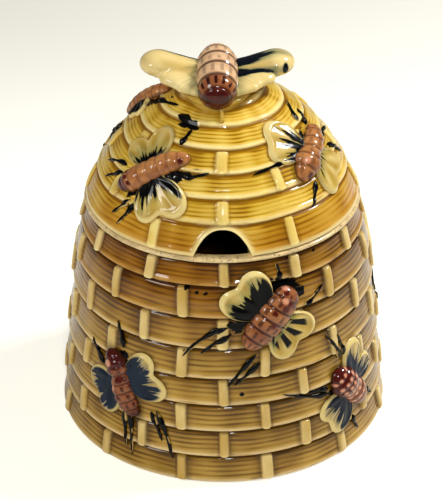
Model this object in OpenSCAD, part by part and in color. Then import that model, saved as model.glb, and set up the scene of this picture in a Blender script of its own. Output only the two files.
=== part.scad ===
// Beehive honey pot in glazed earthenware: a round pot whose wall is pressed with rows of coiled
// straw and binding stitches, a loose domed lid with a spoon notch, a bee for a knob, and bees in
// relief on both. Millimetres, +Z up, origin at the centre of the foot, notch towards -Y.
// A turn round the pot is an azimuth: 0 faces -Y and +90 faces +X.

/* [Pot] */
// Diameter of the wall where the pot stands
base_d = 100; // [92:1:112]
// Diameter across the rim
rim_d = 84; // [78:1:90]
// Height of the rim above the table
pot_h = 72; // [62:1:88]
// How late the wall draws in on its way up, where 1 is a straight cone
belly = 1.32; // [1.1:0.02:1.8]
// Thickness of the pot's wall
pot_wall = 4.4; // [3.2:0.2:6]
// Thickness of the pot's floor
floor_t = 4; // [3:0.5:7]
// Bevel between the pot's floor and its wall, inside
floor_bevel = 4; // [2:0.5:8]
// Width of the foot ring
foot_w = 8; // [5:0.5:14]
// Depth of the hollow inside the foot ring
foot_hollow = 1.5; // [0.8:0.1:3]
// Height of the plain band under the rim's edge
rim_band = 1.2; // [0.8:0.1:2.5]
// Bevel on the rim's outer edge
rim_bevel = 0.8; // [0.3:0.1:1]

/* [Lid] */
// Width of the rim left bare all round the lid
rim_shelf = 1.3; // [1:0.1:1.8]
// Height of the dome above its plain edge
dome_h = 35.4; // [28:0.2:46]
// Fullness of the dome's side, where 2 is round and more is squarer
dome_side = 2.12; // [1.9:0.02:2.6]
// Fullness of the dome's top, where 2 is round and less is more pointed
dome_top = 1.2; // [1.1:0.02:1.7]
// Thickness of the lid's wall
lid_wall = 3.6; // [2.8:0.2:4.6]
// Height of the plain edge under the lid's lowest row
lid_edge = 0.6; // [0.4:0.1:1.2]
// Depth that the locating flange reaches into the mouth
flange_h = 4; // [2.5:0.5:8]
// Thickness of the locating flange
flange_t = 2.6; // [2:0.2:3.4]
// Gap all round between the flange and the mouth
flange_gap = 0.5; // [0.3:0.1:0.9]
// Width of the spoon notch at the lid's edge
notch_w = 16.8; // [12:0.2:20]
// Height of the spoon notch above the rim
notch_h = 7.8; // [5:0.2:8.4]

/* [Basket rows] */
// Rows up the pot
pot_rows = 8; // [7:1:9]
// Rows up the lid, below its plain cap
lid_rows = 5; // [4:1:6]
// Diameter of the plain cap that carries the knob
cap_d = 37; // [32:1:42]
// Height of the pot's lowest four rows against its other rows
low_row = 0.9; // [0.8:0.02:1.1]
// Height of the pot's top row against its other rows
top_row = 0.76; // [0.7:0.02:1]
// Height of the lid's lowest row against its other rows
lid_first_row = 1.25; // [1:0.05:1.4]
// Fine ribs of straw along each row
ribs = 4; // [3:1:5]
// Height of a rib
rib_h = 0.25; // [0.1:0.05:0.4]
// Depth of the groove between two rows
groove_d = 0.8; // [0.4:0.1:1.2]
// How far a row stands out more at its lower edge than at its upper one
row_lean = 0.4; // [0.1:0.1:0.8]

/* [Stitches] */
// Stitches in each row of the pot
pot_stitch_count = 12; // [10:1:14]
// Stitches in each row of the lid
lid_stitch_count = 6; // [5:1:8]
// Width of a stitch
stitch_w = 3.9; // [2.6:0.1:5]
// How far a stitch stands out from its row
stitch_h = 0.9; // [0.6:0.1:1.4]
// Least gap between a stitch and a relief bee's body or wings, inside which no stitch is made
stitch_clear = 0.2; // [0.1:0.1:2]

/* [Relief bees] */
// Length of a relief bee's body
bee_l = 20; // [16:0.5:23]
// Thickness of a relief bee's body
bee_d = 7.2; // [5.6:0.2:8.4]
// Rings along a relief bee's body
bee_rings = 7; // [5:1:8]
// How far a wing lobe reaches from the body's middle line
wing_reach = 14.2; // [12:0.2:16]
// Width of a wing lobe
lobe_w = 8.6; // [7:0.2:9.6]
// How far the fore and hind lobes swing forwards and back, in degrees
lobe_swing = 25; // [20:1:30]
// How far a wing stands out from the wall
wing_h = 1.5; // [1.1:0.1:2]
// How far a leg stands out from the wall
leg_h = 1.4; // [1.2:0.1:1.8]
// Width of a leg
leg_w = 1.2; // [0.9:0.1:1.8]
// How deep the relief is bedded into the wall
bed = 0.9; // [0.6:0.1:1.2]

/* [Places of the relief bees] */
// Height of the bee low on the pot's left
pot_left_up = 28; // [18:1:56]
// Azimuth of the bee low on the pot's left
pot_left_turn = -38; // [-44:1:-32]
// Heading of its head, clockwise from up
pot_left_heading = -30; // [-60:1:0]
// Height of the bee in the middle of the pot's front
pot_front_up = 53; // [18:1:56]
// Azimuth of the bee in the middle of the pot's front
pot_front_turn = 17; // [11:1:23]
// Heading of its head, clockwise from up
pot_front_heading = 40; // [10:1:70]
// Height of the bee low on the pot's right
pot_right_up = 21; // [18:1:56]
// Azimuth of the bee low on the pot's right
pot_right_turn = 51; // [45:1:57]
// Heading of its head, clockwise from up
pot_right_heading = -38; // [-68:1:-8]
// Height of the bee behind on the pot's right
pot_far_right_up = 46; // [18:1:56]
// Azimuth of the bee behind on the pot's right
pot_far_right_turn = 112; // [106:1:118]
// Heading of its head, clockwise from up
pot_far_right_heading = 35; // [5:1:65]
// Height of the bee on the pot's back
pot_back_up = 24; // [18:1:56]
// Azimuth of the bee on the pot's back
pot_back_turn = 155; // [149:1:161]
// Heading of its head, clockwise from up
pot_back_heading = -40; // [-70:1:-10]
// Height of the bee behind on the pot's left
pot_far_left_up = 50; // [18:1:56]
// Azimuth of the bee behind on the pot's left
pot_far_left_turn = -112; // [-118:1:-106]
// Heading of its head, clockwise from up
pot_far_left_heading = 35; // [5:1:65]
// Distance up the dome of the bee on the lid's left
lid_left_up = 21; // [18:1:32]
// Azimuth of the bee on the lid's left
lid_left_turn = -41; // [-47:1:-35]
// Heading of its head, clockwise from up
lid_left_heading = 50; // [20:1:80]
// Distance up the dome of the bee on the lid's right
lid_right_up = 23; // [18:1:32]
// Azimuth of the bee on the lid's right
lid_right_turn = 59; // [53:1:65]
// Heading of its head, clockwise from up
lid_right_heading = -119; // [-149:1:-89]
// Distance up the dome of the bee behind on the lid's left
lid_far_left_up = 31; // [18:1:32]
// Azimuth of the bee behind on the lid's left
lid_far_left_turn = -100; // [-106:1:-94]
// Heading of its head, clockwise from up
lid_far_left_heading = 10; // [-20:1:40]
// Distance up the dome of the bee on the lid's back
lid_back_up = 24; // [18:1:32]
// Azimuth of the bee on the lid's back
lid_back_turn = 158; // [152:1:164]
// Heading of its head, clockwise from up
lid_back_heading = -50; // [-80:1:-20]

/* [Knob bee] */
// Length of the knob bee's body, which lies along Y with its tail to the front
knob_l = 25; // [20:0.5:28]
// Thickness of the knob bee's body
knob_d = 11.3; // [9:0.1:13]
// Rings along the knob bee's body
knob_rings = 6; // [4:1:8]
// How far the body's middle lies in front of the dome's axis
knob_front = 5; // [3:0.5:7]
// Height of the body's middle line above the dome's top
knob_rise = 3.2; // [2:0.2:5]
// How much the head is higher than the tail, in degrees
knob_pitch = 5; // [0:1:12]
// Distance between the two wing tips
knob_span = 43.6; // [36:0.2:48]
// Thickness of a knob wing
knob_wing_t = 6.2; // [4.8:0.2:8]
// Width of a knob wing's lobe, along the body
knob_lobe_w = 12.6; // [9:0.2:14]
// How much a knob wing's tip is higher than its root
knob_tip_up = 1.2; // [0:0.2:4]
// How far a knob wing's roots lie under the body's middle line
knob_wing_drop = 1; // [0:0.2:2]
// How far the hind lobe's root under the tail lies below the body's middle line
knob_hind_drop = 3.2; // [2:0.2:4]
// Width of the clay pad under the knob bee
pad_w = 19; // [15:0.5:24]
// Length of the clay pad under the knob bee
pad_l = 23; // [18:0.5:26]
// Height of the clay pad below and above its middle
pad_down = 6; // [5:0.2:8]

/* [Hidden] */
$fn = 120;

// A small step used to find slopes, and an allowance by which a cut runs past a face
tiny = 0.01;
past = 1;

// Glaze colours
amber = [0.78, 0.60, 0.25];
honey = [0.86, 0.70, 0.34];
straw = [0.90, 0.78, 0.48];
cream = [0.92, 0.84, 0.52];
rust = [0.62, 0.30, 0.16];
ink = [0.12, 0.13, 0.15];

// The pot's wall as a curve of radius over height
rim_r = rim_d / 2;
draw_in = (base_d - rim_d) / 2;
function pot_r(z) = base_d / 2 - draw_in * pow(max(z, 0) / pot_h, belly);
function pot_pt(z) = [pot_r(z), z];

// The lid's wall as a rounded dome: phi is 0 at its edge and 90 on top
lid_r = rim_r - rim_shelf;
lid_z = pot_h + lid_edge;
function lid_pt(phi) = [lid_r * pow(cos(phi), 2 / dome_side), lid_z + dome_h * pow(sin(phi), 2 / dome_top)];

// The unit normal of a curve that runs upwards, pointing out of the clay. The pot's wall starts upright
function side(step) = [step[1], -step[0]] / norm(step);
function pot_out(z) = z < tiny ? [1, 0] : side(pot_pt(z + tiny) - pot_pt(z - tiny));
function lid_out(phi) = phi > 90 - tiny ? [0, 1] : side(lid_pt(phi + tiny) - lid_pt(max(phi - tiny, 0)));

// Distance along the dome from its edge, paired with phi
dome_steps = 90;
dome_table = [for (i = 0, run = 0; i <= dome_steps;
    run = run + norm(lid_pt((i + 1) * 90 / dome_steps) - lid_pt(i * 90 / dome_steps)), i = i + 1)
    [run, i * 90 / dome_steps]];
function dome_phi(run) = lookup(run, dome_table);
cap_phi = acos(pow(cap_d / 2 / lid_r, dome_side / 2));
cap_run = lookup(cap_phi, [for (pair = dome_table) [pair[1], pair[0]]]);

// Row seams, counted up from the bottom
low_rows = 4;
function sum(list, i = 0) = i < len(list) ? list[i] + sum(list, i + 1) : 0;
pot_shares = [for (k = [0:pot_rows - 1]) k < low_rows ? low_row : k == pot_rows - 1 ? top_row : 1];
lid_shares = [for (k = [0:lid_rows - 1]) k == 0 ? lid_first_row : 1];
function seams(shares, total) = [for (k = 0, at = 0; k <= len(shares);
    at = at + (k < len(shares) ? shares[k] : 0), k = k + 1) total * at / sum(shares)];
pot_seams = seams(pot_shares, pot_h - rim_band);
lid_seams = seams(lid_shares, cap_run);
function between(list, k, f) = list[k] + (list[k + 1] - list[k]) * f;

// A point on the wall in row k at the share f of the row's height, moved out by d
function pot_at(k, f, d) = let (z = between(pot_seams, k, f)) pot_pt(z) + d * pot_out(z);
function lid_at(k, f, d) = let (phi = dome_phi(between(lid_seams, k, f))) lid_pt(phi) + d * lid_out(phi);

// The section of one row: a groove, then ribs that lean out towards the lower edge
groove_share = 0.06;
row_steps = concat([[0, -groove_d]], [for (j = [0:2 * ribs]) let (f = j / (2 * ribs))
    [groove_share + (1 - 2 * groove_share) * f, row_lean * (0.5 - f) + (j % 2 == 1 ? rib_h : 0)]]);
pot_outline = [for (k = [0:pot_rows - 1]) for (s = row_steps) pot_at(k, s[0], s[1])];
lid_outline = [for (k = [0:lid_rows - 1]) for (s = row_steps) lid_at(k, s[0], s[1])];

// Smooth wall curves moved out by d, used to bed and trim the relief
curve_steps = 12;
function pot_curve(d) = [for (i = [0:curve_steps]) let (z = pot_h * i / curve_steps) pot_pt(z) + d * pot_out(z)];
function lid_curve(d) = [for (i = [0:curve_steps]) let (phi = 90 * i / curve_steps) lid_pt(phi) + d * lid_out(phi)];

// Inside of the pot and of the lid
mouth_r = rim_r - pot_wall;
floor_z = foot_hollow + floor_t;
flange_out = mouth_r - flange_gap;
flange_in = flange_out - flange_t;
inside_steps = 12;
inside_phi = acos(pow((flange_in + lid_wall) / lid_r, dome_side / 2));
rim_groove_r = pot_r(pot_h - rim_band) - groove_d;
foot_r = base_d / 2 - foot_w;

module pot_body() color(amber) rotate_extrude() polygon(concat(
    [[foot_r, 0]],
    pot_outline,
    [[rim_groove_r, pot_h - rim_band], [rim_r, pot_h - rim_band + groove_d / 2],
        [rim_r, pot_h - min(rim_bevel, rim_band - groove_d / 2 - tiny)], [rim_r - rim_bevel, pot_h]],
    [for (i = [0:inside_steps - 1]) let (z = pot_h - (pot_h - floor_z - floor_bevel) * i / inside_steps)
        [pot_r(z) - pot_wall, z]],
    [[pot_r(floor_z + floor_bevel) - pot_wall, floor_z + floor_bevel],
        [pot_r(floor_z) - pot_wall - floor_bevel, floor_z],
        [0, floor_z], [0, foot_hollow], [foot_r - foot_hollow, foot_hollow]]));

// Half the notch's width at a share t of its height
notch_full = 1.2;
notch_round = 0.4;
notch_steps = 12;
function notch_half(t) = notch_w / 2 * pow(1 - pow(t, notch_full), notch_round);

module notch() translate([0, -flange_in + lid_wall + past, 0]) rotate([90, 0, 0])
    linear_extrude(rim_r) polygon(concat(
        [[-notch_w / 2, pot_h - flange_h - past], [notch_w / 2, pot_h - flange_h - past]],
        [for (i = [0:notch_steps]) let (t = i / notch_steps) [notch_half(t), pot_h + notch_h * t]],
        [for (i = [notch_steps - 1:-1:0]) let (t = i / notch_steps) [-notch_half(t), pot_h + notch_h * t]]));

module lid_shell() color(honey) difference() {
    rotate_extrude() polygon(concat(
        [[lid_r - lid_edge, pot_h], [lid_r, pot_h + lid_edge / 2]],
        lid_outline,
        [for (i = [0:curve_steps - 1]) lid_pt(cap_phi + (90 - cap_phi) * i / curve_steps)],
        [[0, lid_z + dome_h], [0, lid_z + dome_h - lid_wall]],
        [for (i = [1:inside_steps]) let (phi = 90 - (90 - inside_phi) * i / inside_steps)
            lid_pt(phi) - lid_wall * lid_out(phi)],
        [[flange_in, pot_h - flange_h], [flange_out, pot_h - flange_h], [flange_out, pot_h]]));
    notch();
}

// Section of a stitch over row k, from inside the clay to its rounded face
stitch_ends = 0.03;
stitch_soft = 0.1;
function stitch_steps(inner) = [[1 - stitch_ends, inner], [stitch_ends, inner],
    [stitch_ends, stitch_h / 2], [stitch_soft, stitch_h], [0.5, stitch_h + rib_h],
    [1 - stitch_soft, stitch_h], [1 - stitch_ends, stitch_h / 2]];
stitch_sink = groove_d + row_lean / 2 + tiny;

module stitch(section, azimuth) {
    spread = 2 * asin(stitch_w / 2 / section[1][0]);
    rotate([0, 0, azimuth - 90 - spread / 2]) rotate_extrude(angle = spread) polygon(section);
}

// Alternate rows are set half a step round from each other
function stitch_azimuth(row, i, count) = (i + (row % 2) / 2) * 360 / count;
pot_left_place = [pot_left_turn, pot_left_up, pot_left_heading];
pot_front_place = [pot_front_turn, pot_front_up, pot_front_heading];
pot_right_place = [pot_right_turn, pot_right_up, pot_right_heading];
pot_far_right_place = [pot_far_right_turn, pot_far_right_up, pot_far_right_heading];
pot_back_place = [pot_back_turn, pot_back_up, pot_back_heading];
pot_far_left_place = [pot_far_left_turn, pot_far_left_up, pot_far_left_heading];
pot_places = [pot_left_place, pot_front_place, pot_right_place,
    pot_far_right_place, pot_back_place, pot_far_left_place];
lid_left_place = [lid_left_turn, lid_left_up, lid_left_heading];
lid_right_place = [lid_right_turn, lid_right_up, lid_right_heading];
lid_far_left_place = [lid_far_left_turn, lid_far_left_up, lid_far_left_heading];
lid_back_place = [lid_back_turn, lid_back_up, lid_back_heading];
lid_places = [lid_left_place, lid_right_place, lid_far_left_place, lid_back_place];

// A relief bee's body and wings as strokes on the wall, each from a point to a point with half its
// width: X is to the right and Y to the head, as on_wall() puts them. Its legs lie over the stitches
lobe_middle = wing_reach - lobe_w / 2;
bee_bones = concat(
    [[[0, (bee_d - bee_l) / 2], [0, (bee_l - bee_d) / 2], bee_d / 2]],
    [for (hand = [-1, 1]) for (swing = [lobe_swing, -lobe_swing])
        [[0, 0], lobe_middle * [hand * cos(swing), sin(swing)], lobe_w / 2]]);
function stroke_gap(p, bone) = let (run = bone[1] - bone[0], t = (p - bone[0]) * run / (run * run))
    norm(p - bone[0] - run * min(max(t, 0), 1)) - bone[2];

// The point of a wall's curve at an azimuth, and a wall's outward and upward directions there
function turned(pt, azimuth) = [pt[0] * sin(azimuth), -pt[0] * cos(azimuth), pt[1]];
function bee_gap(point, wall_pt, out, place) = let (
    from = point - turned(wall_pt, place[0]),
    right = [cos(place[0]), sin(place[0]), 0],
    up = turned([-out[1], out[0]], place[0]),
    x = from * (right * cos(place[2]) - up * sin(place[2])),
    y = from * (up * cos(place[2]) + right * sin(place[2])))
    from * turned(out, place[0]) < -bee_d ? wing_reach : min([for (bone = bee_bones) stroke_gap([x, y], bone)]);

// The middle line and both sides of a stitch, as points on the wall's section turned to their azimuths
stitch_tests = [0, 0.25, 0.5, 0.75, 1];
function stitch_points(section, azimuth) = [for (pt = section) for (side = [-1, 0, 1])
    turned(pt, azimuth + side * asin(stitch_w / 2 / pt[0]))];
function pot_clear(k, azimuth) = min([for (place = pot_places)
    for (point = stitch_points([for (f = stitch_tests) pot_at(k, f, 0)], azimuth))
        bee_gap(point, pot_pt(place[1]), pot_out(place[1]), place)]) > stitch_clear;
function lid_clear(k, azimuth) = min([for (place = lid_places) let (phi = dome_phi(place[1]))
    for (point = stitch_points([for (f = stitch_tests) lid_at(k, f, 0)], azimuth))
        bee_gap(point, lid_pt(phi), lid_out(phi), place)]) > stitch_clear;

module pot_stitches() color(straw)
    for (k = [0:pot_rows - 1]) for (i = [0:pot_stitch_count - 1])
        let (a = stitch_azimuth(pot_rows - 1 - k, i, pot_stitch_count))
            if (pot_clear(k, a)) stitch([for (s = stitch_steps(-stitch_sink)) pot_at(k, s[0], s[1])], a);

module lid_stitches() color(straw)
    for (k = [0:lid_rows - 1]) for (i = [0:lid_stitch_count - 1])
        let (a = stitch_azimuth(k + 1, i, lid_stitch_count))
            if (lid_clear(k, a)) stitch([for (s = stitch_steps(-stitch_sink)) lid_at(k, s[0], s[1])], a);

// Puts what is drawn round the origin on a wall: X to the right, Y to the bee's head, Z out of the wall
module on_wall(point, out, place) rotate([0, 0, place[0]]) translate([0, -point[0], point[1]])
    rotate([90 - atan2(out[1], out[0]), 0, 0]) rotate([0, 0, -place[2]]) children();
module on_pot(place) on_wall(pot_pt(place[1]), pot_out(place[1]), place) children();
module on_lid(place) let (phi = dome_phi(place[1])) on_wall(lid_pt(phi), lid_out(phi), place) children();

// The space inside a wall that was moved out by d
module pot_core(d) rotate_extrude() polygon(concat([[0, 0]], pot_curve(d), [[0, pot_curve(d)[curve_steps][1]]]));
module lid_core(d) rotate_extrude() polygon(concat([[0, lid_z]], lid_curve(d)));

// A bee's body as a ringed, rounded barrel along Y, with its head at +Y
bee_full = 2.6;
bee_round = 0.45;
tip_share = 0.3;
ring_step = 0.06;
function barrel(l, d, rings) = concat([[0, -l / 2], [d / 2 * tip_share, -l * 0.49]],
    [for (i = [1:2 * rings - 1]) let (u = i / rings - 1)
        [d / 2 * pow(1 - pow(abs(u), bee_full), bee_round) * (1 - (i % 2) * ring_step), u * l / 2]],
    [[d / 2 * tip_share, l * 0.49], [0, l / 2]]);
module barrel_body(l, d, rings) rotate([-90, 0, 0]) rotate_extrude() polygon(barrel(l, d, rings));

// A wing lobe from the body's middle out to wing_reach, as a rounded paddle
lobe_sides = 24;
lobe_root = 0.34;
function paddle(reach, w) = [for (i = [0:lobe_sides - 1]) let (a = 360 * i / lobe_sides, c = (1 - cos(a)) / 2)
    [reach * c, w / 2 * sin(a) * (lobe_root + (1 - lobe_root) * pow(c, 0.6))]];
module bee_wings() for (hand = [0, 1]) mirror([hand, 0, 0]) for (swing = [lobe_swing, -lobe_swing])
    rotate([0, 0, swing]) linear_extrude(2 * bee_d, center = true) polygon(paddle(wing_reach, lobe_w));

// Legs and feelers are thin tapered strokes from the body, drawn on the wall. The list holds those on
// the right of a bee whose body is leg_base long
leg_base = 20;
leg_lines = [[[4, -6], [7.5, -21]], [[6, -5], [9, -14]], [[3, 7], [7.5, 17]]];
module stroke(from, to) linear_extrude(2 * bee_d, center = true) polygon([
    from + [-leg_w / 2, 0], (from + to) / 2 + [leg_w * 0.2, 0], to, (from + to) / 2 + [leg_w * 1.2, 0],
    from + [leg_w / 2, 0]]);
module bee_legs() for (hand = [0, 1]) mirror([hand, 0, 0]) for (leg = leg_lines)
    stroke(leg[0] * bee_l / leg_base, leg[1] * bee_l / leg_base);

module pot_bee_body(place) color(rust) difference() {
    on_pot(place) barrel_body(bee_l, bee_d, bee_rings);
    pot_core(-bed);
}
module pot_bee_wings(place) color(cream) difference() {
    intersection() {
        on_pot(place) bee_wings();
        pot_core(wing_h);
    }
    pot_core(-bed);
}
module pot_bee_legs(place) color(ink) difference() {
    intersection() {
        on_pot(place) bee_legs();
        pot_core(leg_h);
    }
    pot_core(-bed);
}
module lid_bee_body(place) color(rust) difference() {
    on_lid(place) barrel_body(bee_l, bee_d, bee_rings);
    lid_core(-bed);
}
module lid_bee_wings(place) color(cream) difference() {
    intersection() {
        on_lid(place) bee_wings();
        lid_core(wing_h);
    }
    lid_core(-bed);
}
module lid_bee_legs(place) color(ink) difference() {
    intersection() {
        on_lid(place) bee_legs();
        lid_core(leg_h);
    }
    lid_core(-bed);
}

module pot_left_bee_body() pot_bee_body(pot_left_place);
module pot_left_bee_wings() pot_bee_wings(pot_left_place);
module pot_left_bee_legs() pot_bee_legs(pot_left_place);
module pot_front_bee_body() pot_bee_body(pot_front_place);
module pot_front_bee_wings() pot_bee_wings(pot_front_place);
module pot_front_bee_legs() pot_bee_legs(pot_front_place);
module pot_right_bee_body() pot_bee_body(pot_right_place);
module pot_right_bee_wings() pot_bee_wings(pot_right_place);
module pot_right_bee_legs() pot_bee_legs(pot_right_place);
module pot_far_right_bee_body() pot_bee_body(pot_far_right_place);
module pot_far_right_bee_wings() pot_bee_wings(pot_far_right_place);
module pot_far_right_bee_legs() pot_bee_legs(pot_far_right_place);
module pot_back_bee_body() pot_bee_body(pot_back_place);
module pot_back_bee_wings() pot_bee_wings(pot_back_place);
module pot_back_bee_legs() pot_bee_legs(pot_back_place);
module pot_far_left_bee_body() pot_bee_body(pot_far_left_place);
module pot_far_left_bee_wings() pot_bee_wings(pot_far_left_place);
module pot_far_left_bee_legs() pot_bee_legs(pot_far_left_place);
module lid_left_bee_body() lid_bee_body(lid_left_place);
module lid_left_bee_wings() lid_bee_wings(lid_left_place);
module lid_left_bee_legs() lid_bee_legs(lid_left_place);
module lid_right_bee_body() lid_bee_body(lid_right_place);
module lid_right_bee_wings() lid_bee_wings(lid_right_place);
module lid_right_bee_legs() lid_bee_legs(lid_right_place);
module lid_far_left_bee_body() lid_bee_body(lid_far_left_place);
module lid_far_left_bee_wings() lid_bee_wings(lid_far_left_place);
module lid_far_left_bee_legs() lid_bee_legs(lid_far_left_place);
module lid_back_bee_body() lid_bee_body(lid_back_place);
module lid_back_bee_wings() lid_bee_wings(lid_back_place);
module lid_back_bee_legs() lid_bee_legs(lid_back_place);

// The knob: a clay pad on the cap, the bee lying on it, and two thick wings of two lobes each
dome_z = lid_z + dome_h;
knob_z = dome_z + knob_rise;
module knob_pad() color(cream) difference() {
    translate([0, -knob_front, knob_z - knob_d / 4]) scale([pad_w / 2, pad_l / 2, pad_down]) sphere(1);
    lid_core(-bed);
}
module knob_bee_body() color(rust) translate([0, -knob_front, knob_z]) rotate([-knob_pitch, 0, 180])
    rotate([0, 0, 180]) barrel_body(knob_l, knob_d, knob_rings);

// Each wing has a fore lobe out to the tip and a shorter, lower hind lobe that runs in under the tail.
// Lobes end in rounded tips, which are a share of the tip's size at the root and on the hind lobe
tip_half = [knob_lobe_w * 0.45, knob_lobe_w / 2, knob_wing_t / 2];
fore_root_size = 0.86;
hind_tip_size = 0.88;
hind_root_size = 0.8;
// Shares of the body's length and thickness at which the lobes lie
fore_along = 0.2;
hind_along = -0.14;
hind_root_along = -0.24;
fore_root_out = 0.4;
hind_root_out = 0.36;
hind_reach = 0.7;
tip_x = knob_span / 2 - tip_half[0];
module lobe(tip, tip_size, root, root_size) hull() {
    translate(tip) scale(tip_size) sphere(1, $fn = 28);
    translate(root) scale(root_size) sphere(1, $fn = 28);
}
module knob_wing() translate([0, -knob_front, knob_z]) {
    lobe([tip_x, knob_l * fore_along, knob_tip_up], tip_half,
        [knob_d * fore_root_out, knob_l * fore_along, -knob_wing_drop], tip_half * fore_root_size);
    lobe([tip_x * hind_reach, knob_l * hind_along, -knob_wing_drop], tip_half * hind_tip_size,
        [knob_d * hind_root_out, knob_l * hind_root_along, -knob_hind_drop], tip_half * hind_root_size);
}
module knob_wing_left() color(cream) mirror([1, 0, 0]) knob_wing();
module knob_wing_right() color(cream) knob_wing();

pot_body();
pot_stitches();
pot_left_bee_body();
pot_left_bee_wings();
pot_left_bee_legs();
pot_front_bee_body();
pot_front_bee_wings();
pot_front_bee_legs();
pot_right_bee_body();
pot_right_bee_wings();
pot_right_bee_legs();
pot_far_right_bee_body();
pot_far_right_bee_wings();
pot_far_right_bee_legs();
pot_back_bee_body();
pot_back_bee_wings();
pot_back_bee_legs();
pot_far_left_bee_body();
pot_far_left_bee_wings();
pot_far_left_bee_legs();
lid_shell();
lid_stitches();
lid_left_bee_body();
lid_left_bee_wings();
lid_left_bee_legs();
lid_right_bee_body();
lid_right_bee_wings();
lid_right_bee_legs();
lid_far_left_bee_body();
lid_far_left_bee_wings();
lid_far_left_bee_legs();
lid_back_bee_body();
lid_back_bee_wings();
lid_back_bee_legs();
knob_pad();
knob_bee_body();
knob_wing_left();
knob_wing_right();
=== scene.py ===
# %% [markdown]
# # A beehive honey pot with a loose domed lid
# The pot is glazed earthenware. Its wall is moulded like a basket: rows of coiled straw with short
# binding stitches. Bees in relief sit on the pot and on the lid, and one thick bee is the lid's knob.
# This lesson dresses a finished CAD frame. Every clay form gets a finer mesh in the same place, and
# a glaze made of shader nodes. It works in millimetres and turns each mesh into metres at its end.

# %% The frame that everything is fitted to
import math

import bmesh
import bpy
import numpy as np
from mathutils import Matrix, Vector


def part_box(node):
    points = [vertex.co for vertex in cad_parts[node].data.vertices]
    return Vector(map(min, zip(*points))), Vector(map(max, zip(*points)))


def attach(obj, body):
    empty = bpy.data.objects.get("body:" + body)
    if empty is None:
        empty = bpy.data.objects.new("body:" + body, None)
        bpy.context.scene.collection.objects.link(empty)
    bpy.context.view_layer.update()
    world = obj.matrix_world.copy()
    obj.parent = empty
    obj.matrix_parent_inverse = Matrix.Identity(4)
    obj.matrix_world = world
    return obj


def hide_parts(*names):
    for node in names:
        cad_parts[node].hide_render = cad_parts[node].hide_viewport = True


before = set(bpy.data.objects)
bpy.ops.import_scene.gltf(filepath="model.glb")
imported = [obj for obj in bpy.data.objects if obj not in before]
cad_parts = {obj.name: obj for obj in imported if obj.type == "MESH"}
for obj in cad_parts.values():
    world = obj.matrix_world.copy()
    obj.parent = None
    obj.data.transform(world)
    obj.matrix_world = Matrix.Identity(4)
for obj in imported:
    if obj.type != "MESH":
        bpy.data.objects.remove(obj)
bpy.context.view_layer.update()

MM = 0.001

# %% [markdown]
# ## The camera
# The photograph looks down on the pot from the front. The camera could be placed by eye, but it was
# worked out from the rim and the foot, which are circles and show how far away the lens was. It turns
# a trace round its own axis, because the pot leans in the picture.

# %% Camera
CAMERA_AT = Vector((-0.00035, -0.5133, 0.3610))
CAMERA_AIM = Vector((-0.00035, 0, 0.0504))
CAMERA_ROLL = math.radians(-0.41)
camera_data = bpy.data.cameras.new("camera")
camera_data.sensor_fit = "VERTICAL"
camera_data.sensor_height = 36
camera_data.lens = 141.57
camera = bpy.data.objects.new("camera", camera_data)
bpy.context.scene.collection.objects.link(camera)
look = (CAMERA_AIM - CAMERA_AT).to_track_quat("-Z", "Y").to_matrix().to_4x4()
camera.matrix_world = Matrix.Translation(CAMERA_AT) @ look @ Matrix.Rotation(CAMERA_ROLL, 4, "Z")
bpy.context.scene.camera = camera
bpy.context.scene.view_settings.view_transform = "Standard"
print("camera distance:", round((CAMERA_AIM - CAMERA_AT).length, 3), "m")

# %% [markdown]
# ## The walls as curves
# Both walls are surfaces of revolution. Each is kept as a table: the distance up the wall, and the
# radius, height and outward normal there. On the pot, whose wall is steep, the height itself is that
# distance. The rows, stitches and bees all read these tables, so they stay together. The pot's wall is
# nearly upright at the foot and draws in higher up. The lid is a rounded dome, a little pointed on
# top. The values are the CAD model's own.

# %% Sizes of the pot and lid
RIM_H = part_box("pot_body")[1].z / MM
BASE_R = 50
RIM_R = 42
BELLY = 1.32
MOUTH_R = 37.6
RIM_OUT = 41.3
POT_WALL = RIM_R - MOUTH_R
LID_R = 40.7
LID_Z = RIM_H + 0.6
DOME_H = 35.4
DOME_SIDE = 2.12
DOME_TOP = 1.2
LID_WALL = 3.6
CAP_R = 18.5


class Wall:
    """A wall that is turned round the Z axis, as a table of points from its foot upwards."""

    def __init__(self, along, radius, height):
        self.along, self.radius, self.height = along, radius, height
        run, rise = np.gradient(radius), np.gradient(height)
        size = np.hypot(run, rise)
        self.out_r, self.out_z = rise / size, -run / size

    def at(self, s):
        """Radius and height at the distance s, and the normal's two parts."""
        return [np.interp(s, self.along, part)
                for part in (self.radius, self.height, self.out_r, self.out_z)]


def pot_radius(z):
    return BASE_R - (BASE_R - RIM_R) * (np.maximum(z, 0) / RIM_H) ** BELLY


table_z = np.linspace(0, RIM_H, 721)
pot_wall = Wall(table_z, pot_radius(table_z), table_z)
table_phi = np.radians(np.linspace(0, 90, 2001))
dome_r = LID_R * np.cos(table_phi) ** (2 / DOME_SIDE)
dome_r[-1] = 0
dome_z = LID_Z + DOME_H * np.sin(table_phi) ** (2 / DOME_TOP)
dome_run = np.concatenate([[0], np.cumsum(np.hypot(np.diff(dome_r), np.diff(dome_z)))])
lid_wall = Wall(dome_run, dome_r, dome_z)
CAP_RUN = float(np.interp(-CAP_R, -dome_r, dome_run))
print("distance from the lid's edge to its cap:", round(CAP_RUN, 2), "mm")

# %% [markdown]
# ## Rows of coiled straw
# The rows aren't all equal, so each has its share of the height: on the pot the lowest four and the
# top one are lower, and on the lid the first is higher. Above the lid's rows its cap has three more
# rings of straw, which have no stitches.

# %% Row seams
def seams(shares, total):
    return total * np.concatenate([[0], np.cumsum(shares)]) / sum(shares)


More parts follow.
